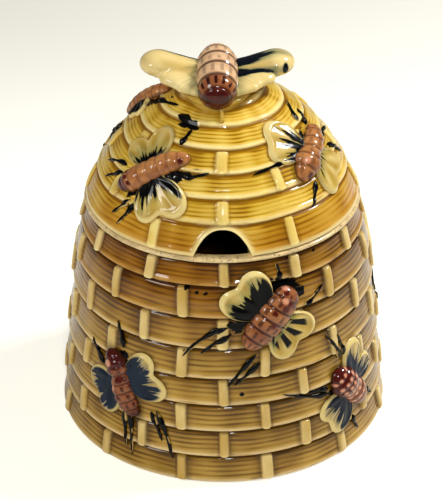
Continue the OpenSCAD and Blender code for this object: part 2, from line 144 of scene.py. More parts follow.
RIM_BAND = 1.2
POT_SEAMS = seams([0.9] * 4 + [1] * 3 + [0.76], RIM_H - RIM_BAND)
LID_SEAMS = seams([1.25] + [1] * 4, CAP_RUN)
CAP_SEAMS = CAP_RUN + np.array([6.6, 13.2, 21])
POT_STITCHES = 12
LID_STITCHES = 6
print("pot seams:", POT_SEAMS.round(1), "lid seams:", LID_SEAMS.round(1))


# %% Small helpers that shape numbers
def smooth(low, high, value):
    """0 below low, 1 above high, and a soft S between."""
    t = np.clip((value - low) / (high - low), 0, 1)
    return t * t * (3 - 2 * t)


def wave(turn, seed, slow=3, count=5):
    """A value that wanders round the pot, about -1 to 1, and closes on itself. turn is in degrees."""
    draw = np.random.default_rng(seed)
    total = 0
    for k in range(count):
        turns = slow * (k + 1) + int(draw.integers(0, slow + 1))
        total = total + np.sin(np.radians(turn * turns) + draw.uniform(0, 2 * np.pi)) / (k + 1) ** 0.7
    return total / 2


print("a wave at four azimuths:", wave(np.array([0, 90, 180, 270]), 5).round(2))

# %% [markdown]
# ## Moulded relief
# The basket could be a texture's bump, but its stitches stand out by almost a millimetre and show on
# the outline, so it is real shape. One function gives the height of the rows at any place on a wall: a
# row leans out at its foot, ends there in a rolled lip, and has strands of straw above it. A second
# one lays the stitches over them. Both keep what the glaze needs, such as how deep a place lies, and
# the painted shade that darkens the top of each row, under the lip of the row above. The two walls
# differ in how many rows have stitches, how far the relief is tucked into the wall, how deep its
# grooves are, how far a row leans out, how dark that painted shade is, and how high its strands and
# stitches stand.

# %% Relief of the rows
STRANDS = 5
LIP_H = 0.4
LIP_TOP = 1.1
STITCH_W = 3.1
STITCH_H = 0.85
POT_RELIEF = dict(rows=8, tuck=0.6, groove=0.8, lean=0.45, rib=0.16, shade=1.1, stitch=1.0, seed=5)
LID_RELIEF = dict(rows=4, tuck=0.4, groove=0.25, lean=0.15, rib=0.2, shade=0.65, stitch=0.6, seed=22)


def straw_rows(turn, up, down, row, form):
    """Height of the rows in mm, and masks, at distances above and below a row's two seams."""
    seed = form["seed"]
    share = np.clip(up / (up + down), 0, 1)
    lean = form["lean"] * (0.5 - share)
    groove = np.minimum(smooth(0.0, 0.55, up), smooth(0.0, 1.1, down))
    lip = smooth(0.1, 0.5, up) * (1 - smooth(1.0, 2.0, up))
    strand = (up - LIP_TOP) / (up + down - LIP_TOP) * STRANDS + 0.16 * wave(turn + 91 * row, seed + 1, 4)
    beat = np.abs(np.sin(math.pi * strand)) ** 0.6 * (strand > 0)
    ribs = form["rib"] * beat * (0.8 + 0.4 * wave(turn + 37 * row, seed + 3, 5))
    # The row's colour wanders at random along it, and painted shade darkens it towards its top, under the
    # lip of the row above.
    tone_and_shade = 1 + 0.3 * wave(turn + 53 * row, seed + 9, 6) - form["shade"] * np.clip(share - 0.4, 0, 1)
    return {"share": share, "lean": lean, "lip": lip, "tone_and_shade": tone_and_shade * groove, "groove": 1 - groove,
            "height": (lean + LIP_H * lip + ribs) * groove - form["groove"] * (1 - groove),
            "strand": np.where(strand > 0, strand, 0.5) + 8 * row}


# %% [markdown]
# ## Binding stitches
# No two stitches are alike, because they were cut by hand. So numbers are drawn for them once, and each
# picks its own by its row and place: for its slant, its shift to the side, its width and its height.

# %% Relief of a basket wall
HAND_CUTS = 400


def basket(turn, s, radius, edges, stitches, form):
    """Relief height in mm, and masks, at an azimuth in degrees and a distance s up a wall."""
    s = s + 0.22 * wave(turn, form["seed"], 2)
    row = np.clip(np.searchsorted(edges, s, side="right") - 1, 0, len(edges) - 2)
    up, down = s - edges[row], edges[row + 1] - s
    straw = straw_rows(turn, up, down, row, form)
    share = straw["share"]
    step = 360 / stitches
    offset = np.where(row % 2 == 0, step / 2, 0)
    number = np.round((turn - offset) / step)
    hand_cut = np.random.default_rng(form["seed"] + 100).uniform(-1, 1, (4, HAND_CUTS))
    slant, shift, wide, high = hand_cut[:, (row * 37 + number.astype(int) * 11) % HAND_CUTS]
    across = np.radians(turn - number * step - offset) * radius - 0.35 * shift + (share - 0.5) * 0.5 * slant
    half = STITCH_W / 2 * (1 + 0.12 * wide)
    corner = 0.7 * (1 - smooth(0, 1.3, up)) ** 2 + 0.5 * (1 - smooth(0, 1.0, down)) ** 2
    stitched = row < form["rows"]
    mask = 1 - smooth(half - 0.35 - corner, half + 0.25 - corner, np.abs(across))
    mask = mask * smooth(-0.1, 0.5, up) * smooth(0.0, 0.6, down) * stitched
    round_top = 0.25 * (1 - (across / half) ** 2) + 0.15 * (1 - (2 * share - 1) ** 2)
    raised = straw["lean"] * 0.6 + form["stitch"] * STITCH_H * (1 + 0.12 * high) + np.clip(round_top, 0, 1)
    clear = (1 - mask) * stitched
    # A thin dark line of painted shade runs along each stitch's sides. The straw is also darker beside a
    # stitch.
    stitch_side_shade = 1 - smooth(0.0, 0.8, np.abs(np.abs(across) - half - 0.3))
    beside = np.exp(-np.maximum(np.abs(across) - half, 0) / 2.0)
    return {"height": straw["height"] * (1 - mask) + raised * mask - form["tuck"],
            "tone_and_shade": straw["tone_and_shade"] - 0.45 * beside * clear, "groove": straw["groove"], "stitch": mask,
            "stitch_side_shade": stitch_side_shade * smooth(0.1, 0.9, up) * smooth(0.1, 0.9, down) * clear,
            "lip": straw["lip"] * (1 - mask), "strand": straw["strand"], "low": 1 - smooth(0.3, 1.6, up)}


sample = basket(np.array([15.0]), np.array([40.0]), np.array([46.0]), POT_SEAMS, POT_STITCHES, POT_RELIEF)
print("relief at a stitch:", {key: round(float(value[0]), 2) for key, value in sample.items()})

# %% [markdown]
# ## Turned clay
# The spin operator turns a section round the axis, as a wheel does. It gets slow with many points: a
# full turn of 504 columns takes 20 seconds. So it spins an eighth of a turn, and three rounds of copying
# and turning make it whole. Every point remembers its ring, the number of its point in the section.

# %% The wheel
POT_COLUMNS = 504
LID_COLUMNS = 480


def turn_on_wheel(section, columns):
    """A closed mesh of a (radius, height) section, with each point's ring number and azimuth."""
    bm = bmesh.new()
    ring = bm.verts.layers.int.new("ring")
    chain = [bm.verts.new((0, -r, z)) for r, z in section]
    for number, vert in enumerate(chain):
        vert[ring] = number
    edges = [bm.edges.new(pair) for pair in zip(chain, chain[1:])]
    bmesh.ops.spin(bm, geom=chain + edges, cent=(0, 0, 0), axis=(0, 0, 1), angle=math.radians(45),
                   steps=columns // 8, use_duplicate=False)
    for angle in (45, 90, 180):
        twin = bmesh.ops.duplicate(bm, geom=bm.verts[:] + bm.edges[:] + bm.faces[:])["geom"]
        verts = [part for part in twin if isinstance(part, bmesh.types.BMVert)]
        turned = Matrix.Rotation(math.radians(angle), 3, "Z")
        bmesh.ops.rotate(bm, verts=verts, cent=(0, 0, 0), matrix=turned)
    bmesh.ops.remove_doubles(bm, verts=bm.verts, dist=0.0001)
    bmesh.ops.recalc_face_normals(bm, faces=bm.faces)
    mesh = bpy.data.meshes.new("turned")
    bm.to_mesh(mesh)
    bm.free()
    rings = np.zeros(len(mesh.vertices), int)
    mesh.attributes["ring"].data.foreach_get("value", rings)
    mesh.attributes.remove(mesh.attributes["ring"])
    co = points_of(mesh)
    return mesh, rings, np.degrees(np.arctan2(co[:, 0], -co[:, 1]))


def points_of(mesh):
    """The points of a mesh, one row each."""
    co = np.zeros(len(mesh.vertices) * 3)
    mesh.vertices.foreach_get("co", co)
    return co.reshape(-1, 3)


def set_points(mesh, co):
    mesh.vertices.foreach_set("co", np.ascontiguousarray(co, float).ravel())
    mesh.update()


def paint(mesh, name, values):
    """Keeps one number for each point of a mesh, which the glaze reads by its name."""
    layer = mesh.attributes.new(name, "FLOAT", "POINT")
    layer.data.foreach_set("value", np.ascontiguousarray(values, np.float32))


def finish_piece(name, mesh, body, nodes, material):
    """Makes a mesh in mm a piece of the scene in metres, on its body, in place of its CAD nodes."""
    set_points(mesh, points_of(mesh) * MM)
    mesh.name = name
    mesh.polygons.foreach_set("use_smooth", [True] * len(mesh.polygons))
    mesh.materials.append(material)
    piece = bpy.data.objects.new(name, mesh)
    bpy.context.scene.collection.objects.link(piece)
    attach(piece, body)
    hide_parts(*nodes)
    print(name, "has", sum(len(p.vertices) - 2 for p in mesh.polygons), "triangles")


print("columns of the pot and of the lid:", POT_COLUMNS, LID_COLUMNS)

# %% [markdown]
# ## Columns where the stitches are
# A stitch has steep sides, which evenly spaced columns would turn into stairs. So the columns crowd at
# the two sides of the stitch that one row or the next has in each sector: 15 degrees wide on the pot,
# and 30 on the lid.

# %% Columns that crowd at the stitches
def crowd(turn, sector, edge):
    """Moves evenly spaced azimuths so that many lie near the sides of a stitch, edge degrees out."""
    middle = np.round(turn / sector) * sector
    off = turn - middle
    half = sector / 2
    even = np.array([0, 0.17, 0.27, 0.66, 0.77, 1]) * half
    moved = np.stack([np.zeros_like(edge), edge * 0.7, edge * 0.86, edge * 1.18,
                      edge * 1.5, np.full_like(edge, half)])
    size = np.abs(off)
    seg = np.clip(np.searchsorted(even, size, side="right") - 1, 0, 4)
    share = (size - even[seg]) / (even[seg + 1] - even[seg])
    index = np.arange(len(size))
    low, high = moved[seg, index], moved[seg + 1, index]
    return middle + np.sign(off) * (low + (high - low) * share)


print("columns of a sector:", crowd(np.arange(-6.0, 7, 1.5), 15, np.full(9, 2.0)).round(1))

# %% [markdown]
# ## Where the bees sit
# A bee was pressed on the wall as a sprig of clay. It is drawn flat, with X to the right and Y to its
# head, and a function lays any such point on the curved wall. A place is an azimuth, a distance up the
# wall and the heading of the head, clockwise from up.

# %% Laying flat shapes on a wall
BEES = {
    "pot_left": (-38.3, 27.8, -30), "pot_front": (17.4, 53.1, 40.5), "pot_right": (50.9, 21, -38.3),
    "pot_far_right": (112, 46, 35), "pot_back": (155, 24, -40), "pot_far_left": (-117, 48.5, 16),
    "lid_left": (-41, 21, 50.4), "lid_right": (59, 23, -119),
    "lid_far_left": (-108, 31.8, 16), "lid_back": (166, 20, -62)}


def wall_of(name):
    return lid_wall if name.startswith("lid") else pot_wall


def outside(name, co):
    """Above 0 outside the wall that a bee sits on, and below 0 inside it."""
    rho = np.hypot(co[:, 0], co[:, 1])
    if name.startswith("lid"):
        rise = np.maximum(co[:, 2] - LID_Z, 0) / DOME_H
        return (rho / LID_R) ** DOME_SIDE + rise ** DOME_TOP - 1
    return rho - pot_radius(co[:, 2])


def bee_axes(name):
    """A bee's middle on the wall, and its right, forward and outward directions."""
    turn, s, heading = BEES[name]
    r, z, out_r, out_z = wall_of(name).at(s)
    a, h = math.radians(turn), math.radians(heading)
    middle = np.array([r * math.sin(a), -r * math.cos(a), z])
    right = np.array([math.cos(a), math.sin(a), 0])
    out = np.array([out_r * math.sin(a), -out_r * math.cos(a), out_z])
    up = np.array([-out_z * math.sin(a), out_z * math.cos(a), out_r])
    return (middle, right * math.cos(h) - up * math.sin(h),
            up * math.cos(h) + right * math.sin(h), out)


def lay(name, flat):
    """Lays flat points (right, forward, height above the wall) on a bee's wall."""
    middle, right, ahead, out = bee_axes(name)
    start = middle + flat[:, :1] * right + flat[:, 1:2] * ahead
    low, high = np.full(len(flat), -3.0), np.full(len(flat), 16.0)
    for _ in range(26):
        half = (low + high) / 2
        air = outside(name, start - half[:, None] * out) > 0
        low, high = np.where(air, half, low), np.where(air, high, half)
    foot = start - low[:, None] * out
    wall = wall_of(name)
    s = np.interp(foot[:, 2], wall.height, wall.along)
    _, _, out_r, out_z = wall.at(s)
    a = np.arctan2(foot[:, 0], -foot[:, 1])
    normal = np.stack([out_r * np.sin(a), -out_r * np.cos(a), out_z], 1)
    return foot + normal * flat[:, 2:3]


def bee_flat(name, co):
    """The flat place (right, forward) of points near a bee, and whether they are on its side."""
    middle, right, ahead, out = bee_axes(name)
    away = co - middle
    return away @ right, away @ ahead, away @ out > -8


print("front bee's middle:", bee_axes("pot_front")[0].round(1))

# %% [markdown]
# ## The outline of a wing
# The two wings of one side were one pad of clay with two lobes. Seen from the wing's root, each lobe
# reaches as far as a power of the cosine of the angle from its tip, which gives a petal. The outline is
# the soft maximum of both and of the web between them. Each lobe has the angle of its tip, ahead of
# straight out, and its length. Near a bee the straw was pressed flat, so the outlines are needed
# before the walls are made, and so is the oval that the knob's dish covers on the lid.

# %% Wing outlines
WINGS = {
    "pot_left": ((15, 11.6, -40, 12.2), (24, 11.6, -36, 12.6)),
    "pot_front": ((33, 13.6, -17, 13.4), (16, 12.6, -40, 12.8)),
    "pot_right": ((14, 10.8, -36, 12.8), (47, 13.0, -24, 10.4)),
    "lid_left": ((37, 11.0, -38, 11.2), (20, 13.2, -36, 13.0)),
    "lid_right": ((24, 11.6, -32, 11.8), (39, 11.6, -2, 13.0)),
    "lid_far_left": ((26, 12.5, -28, 12), (16, 6.4, -30, 6.2))}
PLAIN_WINGS = ((26, 12.5, -28, 12), (26, 12.5, -28, 12))
ROOT_X = 2.8
ROOT_Y = 0.8
WEB = 3.0
LOBE_POWER = 2.5
SOFT = 8
BODY_W = {"pot_left": 7.8, "pot_front": 10.2, "pot_right": 9.2, "lid_left": 6.8, "lid_right": 7.2,
          "lid_far_left": 6}
PLAIN_BODY_W = 8
BODY_L = {"pot_left": 22, "pot_front": 22.4, "pot_right": 20.5, "lid_left": 24.4, "lid_right": 21}
PLAIN_BODY_L = 21
BEE_L = 20
PAD_X = -1.2
PAD_Y = -4.5
PAD_RX = 8.3
PAD_RY = 9.7


def wing_reach(angle, wing):
    """Distance from a wing's root to its outline, at an angle in radians ahead of straight out."""
    total = WEB ** SOFT
    for tip, length in (wing[:2], wing[2:]):
        petal = length * np.maximum(np.cos(angle - math.radians(tip)), 0.01) ** LOBE_POWER
        total = total + petal ** SOFT
    return total ** (1 / SOFT)


def bee_gap(name, co):
    """Rough distance in mm from points on the wall to a bee's outline, below 0 inside it."""
    x, y, near = bee_flat(name, co)
    half = BODY_W.get(name, PLAIN_BODY_W) / 2
    gap = (np.hypot(x / half, y / (BODY_L.get(name, PLAIN_BODY_L) / 2)) - 1) * half
    for hand, wing in zip((-1, 1), WINGS.get(name, PLAIN_WINGS)):
        out, ahead = x * hand - ROOT_X, y - ROOT_Y
        gap = np.minimum(gap, np.hypot(out, ahead) - wing_reach(np.arctan2(ahead, out), wing))
    return np.where(near, gap, 99)


def near_bees(prefix, co):
    """Rough distance from points on the pot or lid to the nearest bee, or to the knob's dish."""
    gaps = [bee_gap(name, co) for name in BEES if name.startswith(prefix)]
    if prefix == "lid":
        oval = np.hypot((co[:, 0] - PAD_X) / PAD_RX, (co[:, 1] - PAD_Y) / PAD_RY)
        gaps.append((oval - 1) * PAD_RX / 2)
    return np.min(gaps, 0)


fan = np.radians([-60, -20, 0, 24, 60])
print("reach of the front bee's left wing:", wing_reach(fan, WINGS["pot_front"][0]).round(1))

# %% [markdown]
# ## Colours and node helpers
# Colours are written as they look on a screen, 0 to 255, and turned into the linear values that
# shader sockets take. A small class keeps the node code short: it makes a node, sets its sockets by
# name and links whatever is handed over as another node's output.

# %% Colours and nodes
def colour(r, g, b):
    line = [((c / 255 + 0.055) / 1.055) ** 2.4 if c > 10 else c / 255 / 12.92 for c in (r, g, b)]
    return (*line, 1)


class Shader:
    """Builds one material's node tree."""

    def __init__(self, name):
        self.material = bpy.data.materials.new(name)
        self.material.use_nodes = True
        self.tree = self.material.node_tree
        self.skin = self.tree.nodes["Principled BSDF"]
        self.place = self.add("ShaderNodeTexCoord").outputs["Object"]

    def add(self, kind, sockets=None, **settings):
        node = self.tree.nodes.new(kind)
        for key, value in settings.items():
            setattr(node, key, value)
        for key, value in (sockets or {}).items():
            self.put(node.inputs[key], value)
        return node

    def put(self, socket, value):
        if isinstance(value, bpy.types.NodeSocket):
            self.tree.links.new(value, socket)
        else:
            socket.default_value = value

    def maths(self, how, a, b=0.0, c=0.0):
        return self.add("ShaderNodeMath", {0: a, 1: b, 2: c}, operation=how).outputs[0]

    def times(self, a, b):
        return self.maths("MULTIPLY", a, b)

    def plus(self, a, b):
        return self.maths("ADD", a, b)

    def minus(self, a, b):
        return self.maths("SUBTRACT", a, b)

    def scaled(self, a, size, more):
        return self.maths("MULTIPLY_ADD", a, size, more)

    def step(self, low, high, value):
        node = self.add("ShaderNodeMapRange", {"Value": value, "From Min": low, "From Max": high})
        node.interpolation_type = "SMOOTHSTEP"
        return node.outputs[0]

    def number(self, name):
        return self.add("ShaderNodeAttribute", attribute_name=name).outputs["Fac"]

    def noise(self, scale, detail=3, stretch=(1, 1, 1), rough=0.5, place=None):
        where = self.add("ShaderNodeMapping", {"Vector": place or self.place, "Scale": stretch})
        return self.add("ShaderNodeTexNoise", {"Vector": where.outputs[0], "Scale": scale,
                                               "Detail": detail, "Roughness": rough}).outputs["Fac"]

    def mix(self, share, a, b, how="MIX"):
        node = self.add("ShaderNodeMix", data_type="RGBA", blend_type=how)
        for socket, value in zip((node.inputs[0], node.inputs[6], node.inputs[7]), (share, a, b)):
            self.put(socket, value)
        return node.outputs[2]

    def ramp(self, value, stops):
        node = self.add("ShaderNodeValToRGB", {"Fac": value})
        band = node.color_ramp.elements
        while len(band) < len(stops):
            band.new(1)
        for element, (at, tint) in zip(band, stops):
            element.position = at
            element.color = tint
        return node.outputs["Color"]

    def gloss(self, tint, height, rough, coat, bump, depth):
        """A clear glaze over colour: height feeds the bump. A weak coat keeps dark colours dark."""
        lump = self.add("ShaderNodeBump", {"Height": height, "Strength": bump, "Distance": depth})
        for name, value in (("Base Color", tint), ("Roughness", rough), ("IOR", 1.5),
                            ("Specular IOR Level", 0.06), ("Coat Weight", coat),
                            ("Coat Roughness", 0.04), ("Coat IOR", 1.38),
                            ("Normal", lump.outputs[0])):
            self.put(self.skin.inputs[name], value)
        return self.material


print("amber in linear values:", [round(value, 3) for value in colour(202, 164, 72)])

# %% [markdown]
# ## The honey glaze
# A clear amber glaze runs off the crests and pools in the grooves, so crests look pale and grooves
# brown. A texture painted by hand would do it, but the relief is known at each point, so the shader
# reads it: a ramp goes from groove to crest. Noise that is finer across the rows than along them
# breaks it up like straw. The glaze is a deeper amber high on the pot and low on the lid. Some of the
# colour is painted light: the pale lips and edges are partly a painted highlight, each stitch has a
# painted highlight at its foot and painted shade along its sides, and the rows are painted darker
# towards their tops as shade. The black enamel lies over the glaze and shines less, so the coat is
# thinner there.

# %% Honey glaze
INK = colour(3, 3, 4)
STREAK = 9
COAT = 0.9
COAT_LOSS = -0.6


def straw_tone(s, straw, cloud, beat):
    """0 in the deepest places and 1 on the crests, with thin dark lines between the strands."""
    faint = s.step(0.3, 0.62, s.noise(75, 2, (1, 1, 5)))
    line = s.times(s.minus(1, s.step(0.0, 0.38, beat)), s.scaled(faint, 0.34, 0.06))
    tone_and_shade = s.plus(s.scaled(s.number("tone_and_shade"), 0.5, 0.1), s.scaled(straw, 0.42, -0.21))
    tone_and_shade = s.minus(s.plus(tone_and_shade, s.scaled(cloud, 0.35, -0.17)), line)
    return s.minus(tone_and_shade, s.times(s.number("groove"), 0.85))


def bare_rim(s, rim, lip, groove):
    """The rim has no glaze: it is crazed, and has dark specks."""
    cells = s.add("ShaderNodeTexVoronoi", {"Vector": s.place, "Scale": 520}, feature="DISTANCE_TO_EDGE")
    crack = s.minus(1, s.step(0.0, 0.06, cells.outputs["Distance"]))
    bare = s.mix(s.step(0.35, 0.7, s.noise(240, 4)), rim, lip)
    bare = s.mix(s.times(crack, 0.3), bare, groove)
    return s.mix(s.times(s.step(0.66, 0.7, s.noise(1300, 1)), 0.75), bare, colour(60, 38, 20))


def honey_glaze(name, groove, valley, crest, lip, stitch_low, stitch_highlight_and_pale, rim):
    s = Shader(name)
    straw = s.noise(90, 3, (1, 1, STREAK), 0.6)
    cloud = s.noise(28, 3)
    beat = s.maths("PINGPONG", s.number("strand"), 0.5)
    stops = [(0.0, groove), (0.3, valley), (0.85, crest), (1.0, lip)]
    tint = s.ramp(straw_tone(s, straw, cloud, beat), stops)
    # The rolled lip at each row's foot is painted pale: partly the glaze thinning on the roll, partly a
    # painted highlight.
    edge = s.times(s.number("lip"), s.step(0.25, 0.5, straw))
    tint = s.mix(s.times(edge, 0.85), tint, lip)
    # Painted shade along the stitches' sides.
    tint = s.mix(s.times(s.number("stitch_side_shade"), 0.5), tint, groove)
    # A deeper amber high on the pot and low on the lid.
    thick = s.times(s.number("thick"), s.step(0.15, 0.6, cloud))
    tint = s.mix(thick, tint, colour(206, 166, 84), "MULTIPLY")
    # A stitch is painted pale at its foot, where it rolls over the lip, as a painted highlight, and in pale
    # patches that vary at random.
    patch = s.times(s.step(0.3, 0.75, s.noise(170, 3, (1, 1, 0.4))), 0.7)
    stitch = s.mix(s.scaled(s.number("low"), 0.5, patch), stitch_low, stitch_highlight_and_pale)
    tint = s.mix(s.number("stitch"), tint, stitch)
    tint = s.mix(s.times(s.number("pool"), 0.7), tint, groove)
    # The lid's lowest band and the notch's edge take the lip colour: partly thin glaze, partly a painted
    # highlight.
    tint = s.mix(s.times(s.number("edge"), 0.85), tint, lip)
    tint = s.mix(s.number("rim"), tint, bare_rim(s, rim, lip, groove))
    ragged = s.scaled(s.noise(420, 3, (1, 1, 2)), 0.9, -0.45)
    ink = s.step(0.44, 0.54, s.plus(s.number("ink"), ragged))
    tint = s.mix(ink, tint, INK)
    plain = s.minus(1, s.maths("MAXIMUM", s.number("stitch"), s.number("rim")))
    height = s.plus(s.times(straw, 0.35), s.times(s.noise(900, 2), 0.12))
    height = s.plus(height, s.times(s.times(s.step(0, 0.3, beat), plain), 0.4))
    return s.gloss(tint, height, 0.32, s.scaled(ink, COAT_LOSS, COAT), 0.4, 0.0003)


# lip is the pale colour of the lips, the highest crests and the edges: partly thin glaze, partly a painted
# highlight.
pot_glaze = honey_glaze(
    "pot_glaze", groove=colour(80, 52, 6), valley=colour(136, 98, 18), crest=colour(202, 164, 72),
    lip=colour(236, 208, 150), stitch_low=colour(196, 158, 76), stitch_highlight_and_pale=colour(240, 216, 150),
    rim=colour(206, 180, 130))
lid_glaze = honey_glaze(
    "lid_glaze", groove=colour(146, 100, 4), valley=colour(202, 158, 36), crest=colour(244, 214, 104),
    lip=colour(252, 232, 160), stitch_low=colour(226, 190, 92), stitch_highlight_and_pale=colour(252, 232, 150),
    rim=colour(222, 186, 108))
print("glazes:", pot_glaze.name, lid_glaze.name)

# %% [markdown]
# ## The pot
# The section runs from the axis under the floor, over the foot ring, up the wall, over the rim and
# down the inside to the floor. Many rings go to each row, and they crowd in the grooves, where the
# relief is steep. Only the rings of the outer wall are moved by the relief.

# %% The pot's section
ROW_RINGS = (0, 0.02, 0.04, 0.065, 0.1, 0.145, 0.2, 0.26, 0.32, 0.38, 0.44, 0.5, 0.56, 0.62, 0.68,
             0.74, 0.8, 0.85, 0.9, 0.94, 0.97)


def row_heights(edges):
    return [float(low + (high - low) * f) for low, high in zip(edges, edges[1:]) for f in ROW_RINGS]


FOOT_W = 8
FOOT_IN = BASE_R - FOOT_W
FOOT_H = 1.5
FLOOR_Z = 5.5
foot = [(0, FOOT_H), (24, FOOT_H), (FOOT_IN - 1.5, FOOT_H), (FOOT_IN - 0.6, 0.9), (FOOT_IN, 0.1),
        (FOOT_IN + 0.6, 0), (BASE_R - 1.6, 0), (BASE_R - 0.8, 0.1)]
wall_z = [z for z in row_heights(POT_SEAMS) if z > 0.35]
outer = [(float(pot_radius(z)), z) for z in wall_z]
rim = [(RIM_OUT - 0.35, RIM_H - 1.15), (RIM_OUT - 0.05, RIM_H - 0.95), (RIM_OUT, RIM_H - 0.6),
       (RIM_OUT - 0.25, RIM_H - 0.22), (RIM_OUT - 0.75, RIM_H), (RIM_OUT - 2.2, RIM_H),
       (MOUTH_R + 0.8, RIM_H), (MOUTH_R + 0.2, RIM_H - 0.2), (MOUTH_R, RIM_H - 0.8)]
inside_z = (66, 56, 44, 32, 20, 11)
inner = [(float(pot_radius(z)) - POT_WALL, z) for z in inside_z]
inner += [(44.2, 7.6), (42.6, 6.1), (40, FLOOR_Z), (22, FLOOR_Z), (0, FLOOR_Z)]
pot_section = foot + outer + rim + inner
OUTER = range(len(foot), len(foot) + len(outer))
print("rings:", len(pot_section))


# %% [markdown]
# ## What else the glaze shows
# The painter's brush left black round the bees' roots, and drops of it fell on the walls. Each blot
# has its middle, right and forward of its bee's, and its two half widths. Each drop has its azimuth,
# its distance up the wall and its size. The glaze pools round the bees, and the straw is pressed flat
# under them.

# %% Ink that was brushed on a wall round a bee
BLOTS = {
    "pot_front": [(-4.6, 5, 2.4, 5.0), (-3.2, 9.4, 3.4, 2.6), (0, 11.2, 3.4, 2.0), (3.2, 10.6, 1.8, 1.5),
                  (5.6, 0, 0.9, 7), (-5.4, -4, 1.7, 4.2), (-6.6, -7.8, 2.6, 1.4)],
    "pot_left": [(3.9, 4, 1.7, 6.5), (-3.6, -1, 1.2, 4)],
    "pot_right": [(-4.0, 0, 1.2, 4), (-4.8, 5.4, 1.6, 1.4)],
    "lid_left": [(4.3, 6, 1.7, 5.6), (3.4, -6.5, 1.5, 3.5), (-3.9, -1, 1.2, 4)],
    "lid_right": [(4, 0, 1.3, 6)],
    "lid_far_left": [(4.2, 1, 1.7, 10)]}
PLAIN_BLOTS = [(3.9, 0, 1.3, 6)]


def brushed_ink(name, co):
    """How much black a wall has at points near a bee."""
    x, y, near = bee_flat(name, co)
    ink = 0
    for bx, by, rx, ry in BLOTS.get(name, PLAIN_BLOTS):
        ink = np.maximum(ink, 1 - np.hypot((x - bx) / rx, (y - by) / ry) * 0.5)
    return np.where(near, np.clip(ink, 0, 1), 0)


SPOTS = {
    "lid": [(-40, 38.8, 1.5), (-34, 38.2, 2.2), (-27, 37.4, 1.6), (-22, 36.8, 0.8)],
    "pot": [(6.8, 29.7, 0.8), (-9.8, 61.8, 0.6), (-6.4, 61.7, 0.5), (-14, 63.3, 0.8), (31.6, 59.7, 0.8),
            (-14.3, 43.8, 0.4), (-0.2, 44.2, 0.5), (16.4, 70.4, 0.4), (26.8, 69.8, 0.5), (40.1, 69.4, 0.5)]}


def glaze_spots(turn, s, radius, drops):
    """Drops of ink that fell on a wall, each an azimuth, a distance up the wall and a size."""
    spots = 0
    for at, run, size in drops:
        far = np.hypot(np.radians(turn - at) * radius, s - run)
        spots = np.maximum(spots, 1 - 0.5 * far / size)
    return np.clip(spots, 0, 1)


def wall_paint(mesh, relief, on_wall, prefix, co, rim_mask, edge_pale_and_highlight, thick):
    """Stores what the honey glaze reads."""
    for key in ("tone_and_shade", "groove", "stitch", "stitch_side_shade", "lip", "low", "strand"):
        paint(mesh, key, relief[key] * on_wall)
    gap = near_bees(prefix, co)
    paint(mesh, "pool", np.exp(-(np.maximum(gap, 0) / 0.7) ** 2) * on_wall)
    ink = np.max([brushed_ink(name, co) for name in BEES if name.startswith(prefix)], 0)
    turn, radius = np.degrees(np.arctan2(co[:, 0], -co[:, 1])), np.hypot(co[:, 0], co[:, 1])
    wall = wall_of(prefix)
    s = np.interp(co[:, 2], wall.height, wall.along)
    ink = np.maximum(ink, glaze_spots(turn, s, radius, SPOTS[prefix]))
    paint(mesh, "ink", ink * on_wall)
    paint(mesh, "rim", rim_mask)
    paint(mesh, "edge", edge_pale_and_highlight)
    paint(mesh, "thick", thick * on_wall)


def pressed(prefix, co):
    """The share of the relief that is left: a sprig was pressed flat on the wall under it."""
    return 0.12 + 0.88 * smooth(-1.1, 0.1, near_bees(prefix, co))


print("blots and drops:", sum(len(blots) for blots in BLOTS.values()), len(SPOTS["pot"] + SPOTS["lid"]))

# %% The pot itself
SHOULDER_IN = 1.3
FOOT_OUT = 0.65
RIM_OVER = 0.2
mesh, rings, turn = turn_on_wheel(pot_section, POT_COLUMNS)
section = np.array(pot_section)
edge = np.degrees(np.arcsin(STITCH_W / 2 / np.maximum(section[rings, 0], 20)))
turn = crowd(turn, 15, edge)
on_wall = np.isin(rings, OUTER).astype(float)
z = section[rings, 1]
r, _, out_r, out_z = pot_wall.at(z)
relief = basket(turn, z, r, POT_SEAMS, POT_STITCHES, POT_RELIEF)
a = np.radians(turn)
plain = np.stack([r * np.sin(a), -r * np.cos(a), z], 1)
fade = smooth(0.2, 1.2, z) * on_wall
form = FOOT_OUT * (1 - smooth(0, 9, z)) - SHOULDER_IN * smooth(58, 70, z)
lift = (relief["height"] * pressed("pot", plain) + form) * fade + RIM_OVER * (1 - fade) * on_wall
base = np.where(on_wall > 0, r, section[rings, 0])
rho = base + lift * out_r
co = np.stack([rho * np.sin(a), -rho * np.cos(a), z + lift * out_z * on_wall], 1)
set_points(mesh, co)
rim_mask = smooth(RIM_H - 1.3, RIM_H - 0.9, z) * smooth(MOUTH_R - 0.6, MOUTH_R, section[rings, 0])
wall_paint(mesh, relief, on_wall, "pot", plain, rim_mask, 0 * z, 0.15 + 0.75 * smooth(34, 66, z))
finish_piece("pot", mesh, "pot", ["pot_body", "pot_stitches"], pot_glaze)

# %% [markdown]
# ## The lid
# The lid is turned like the pot: its section runs from the axis under the dome, down the inside, round
# the flange that keeps it from sliding, and up over the rows to the top. The spoon notch could be cut
# with a boolean, but that leaves a ragged edge in such a fine mesh. Instead the lower rings of the
# front columns are moved up to the notch's arch, as a potter lifts the edge with a thumb.

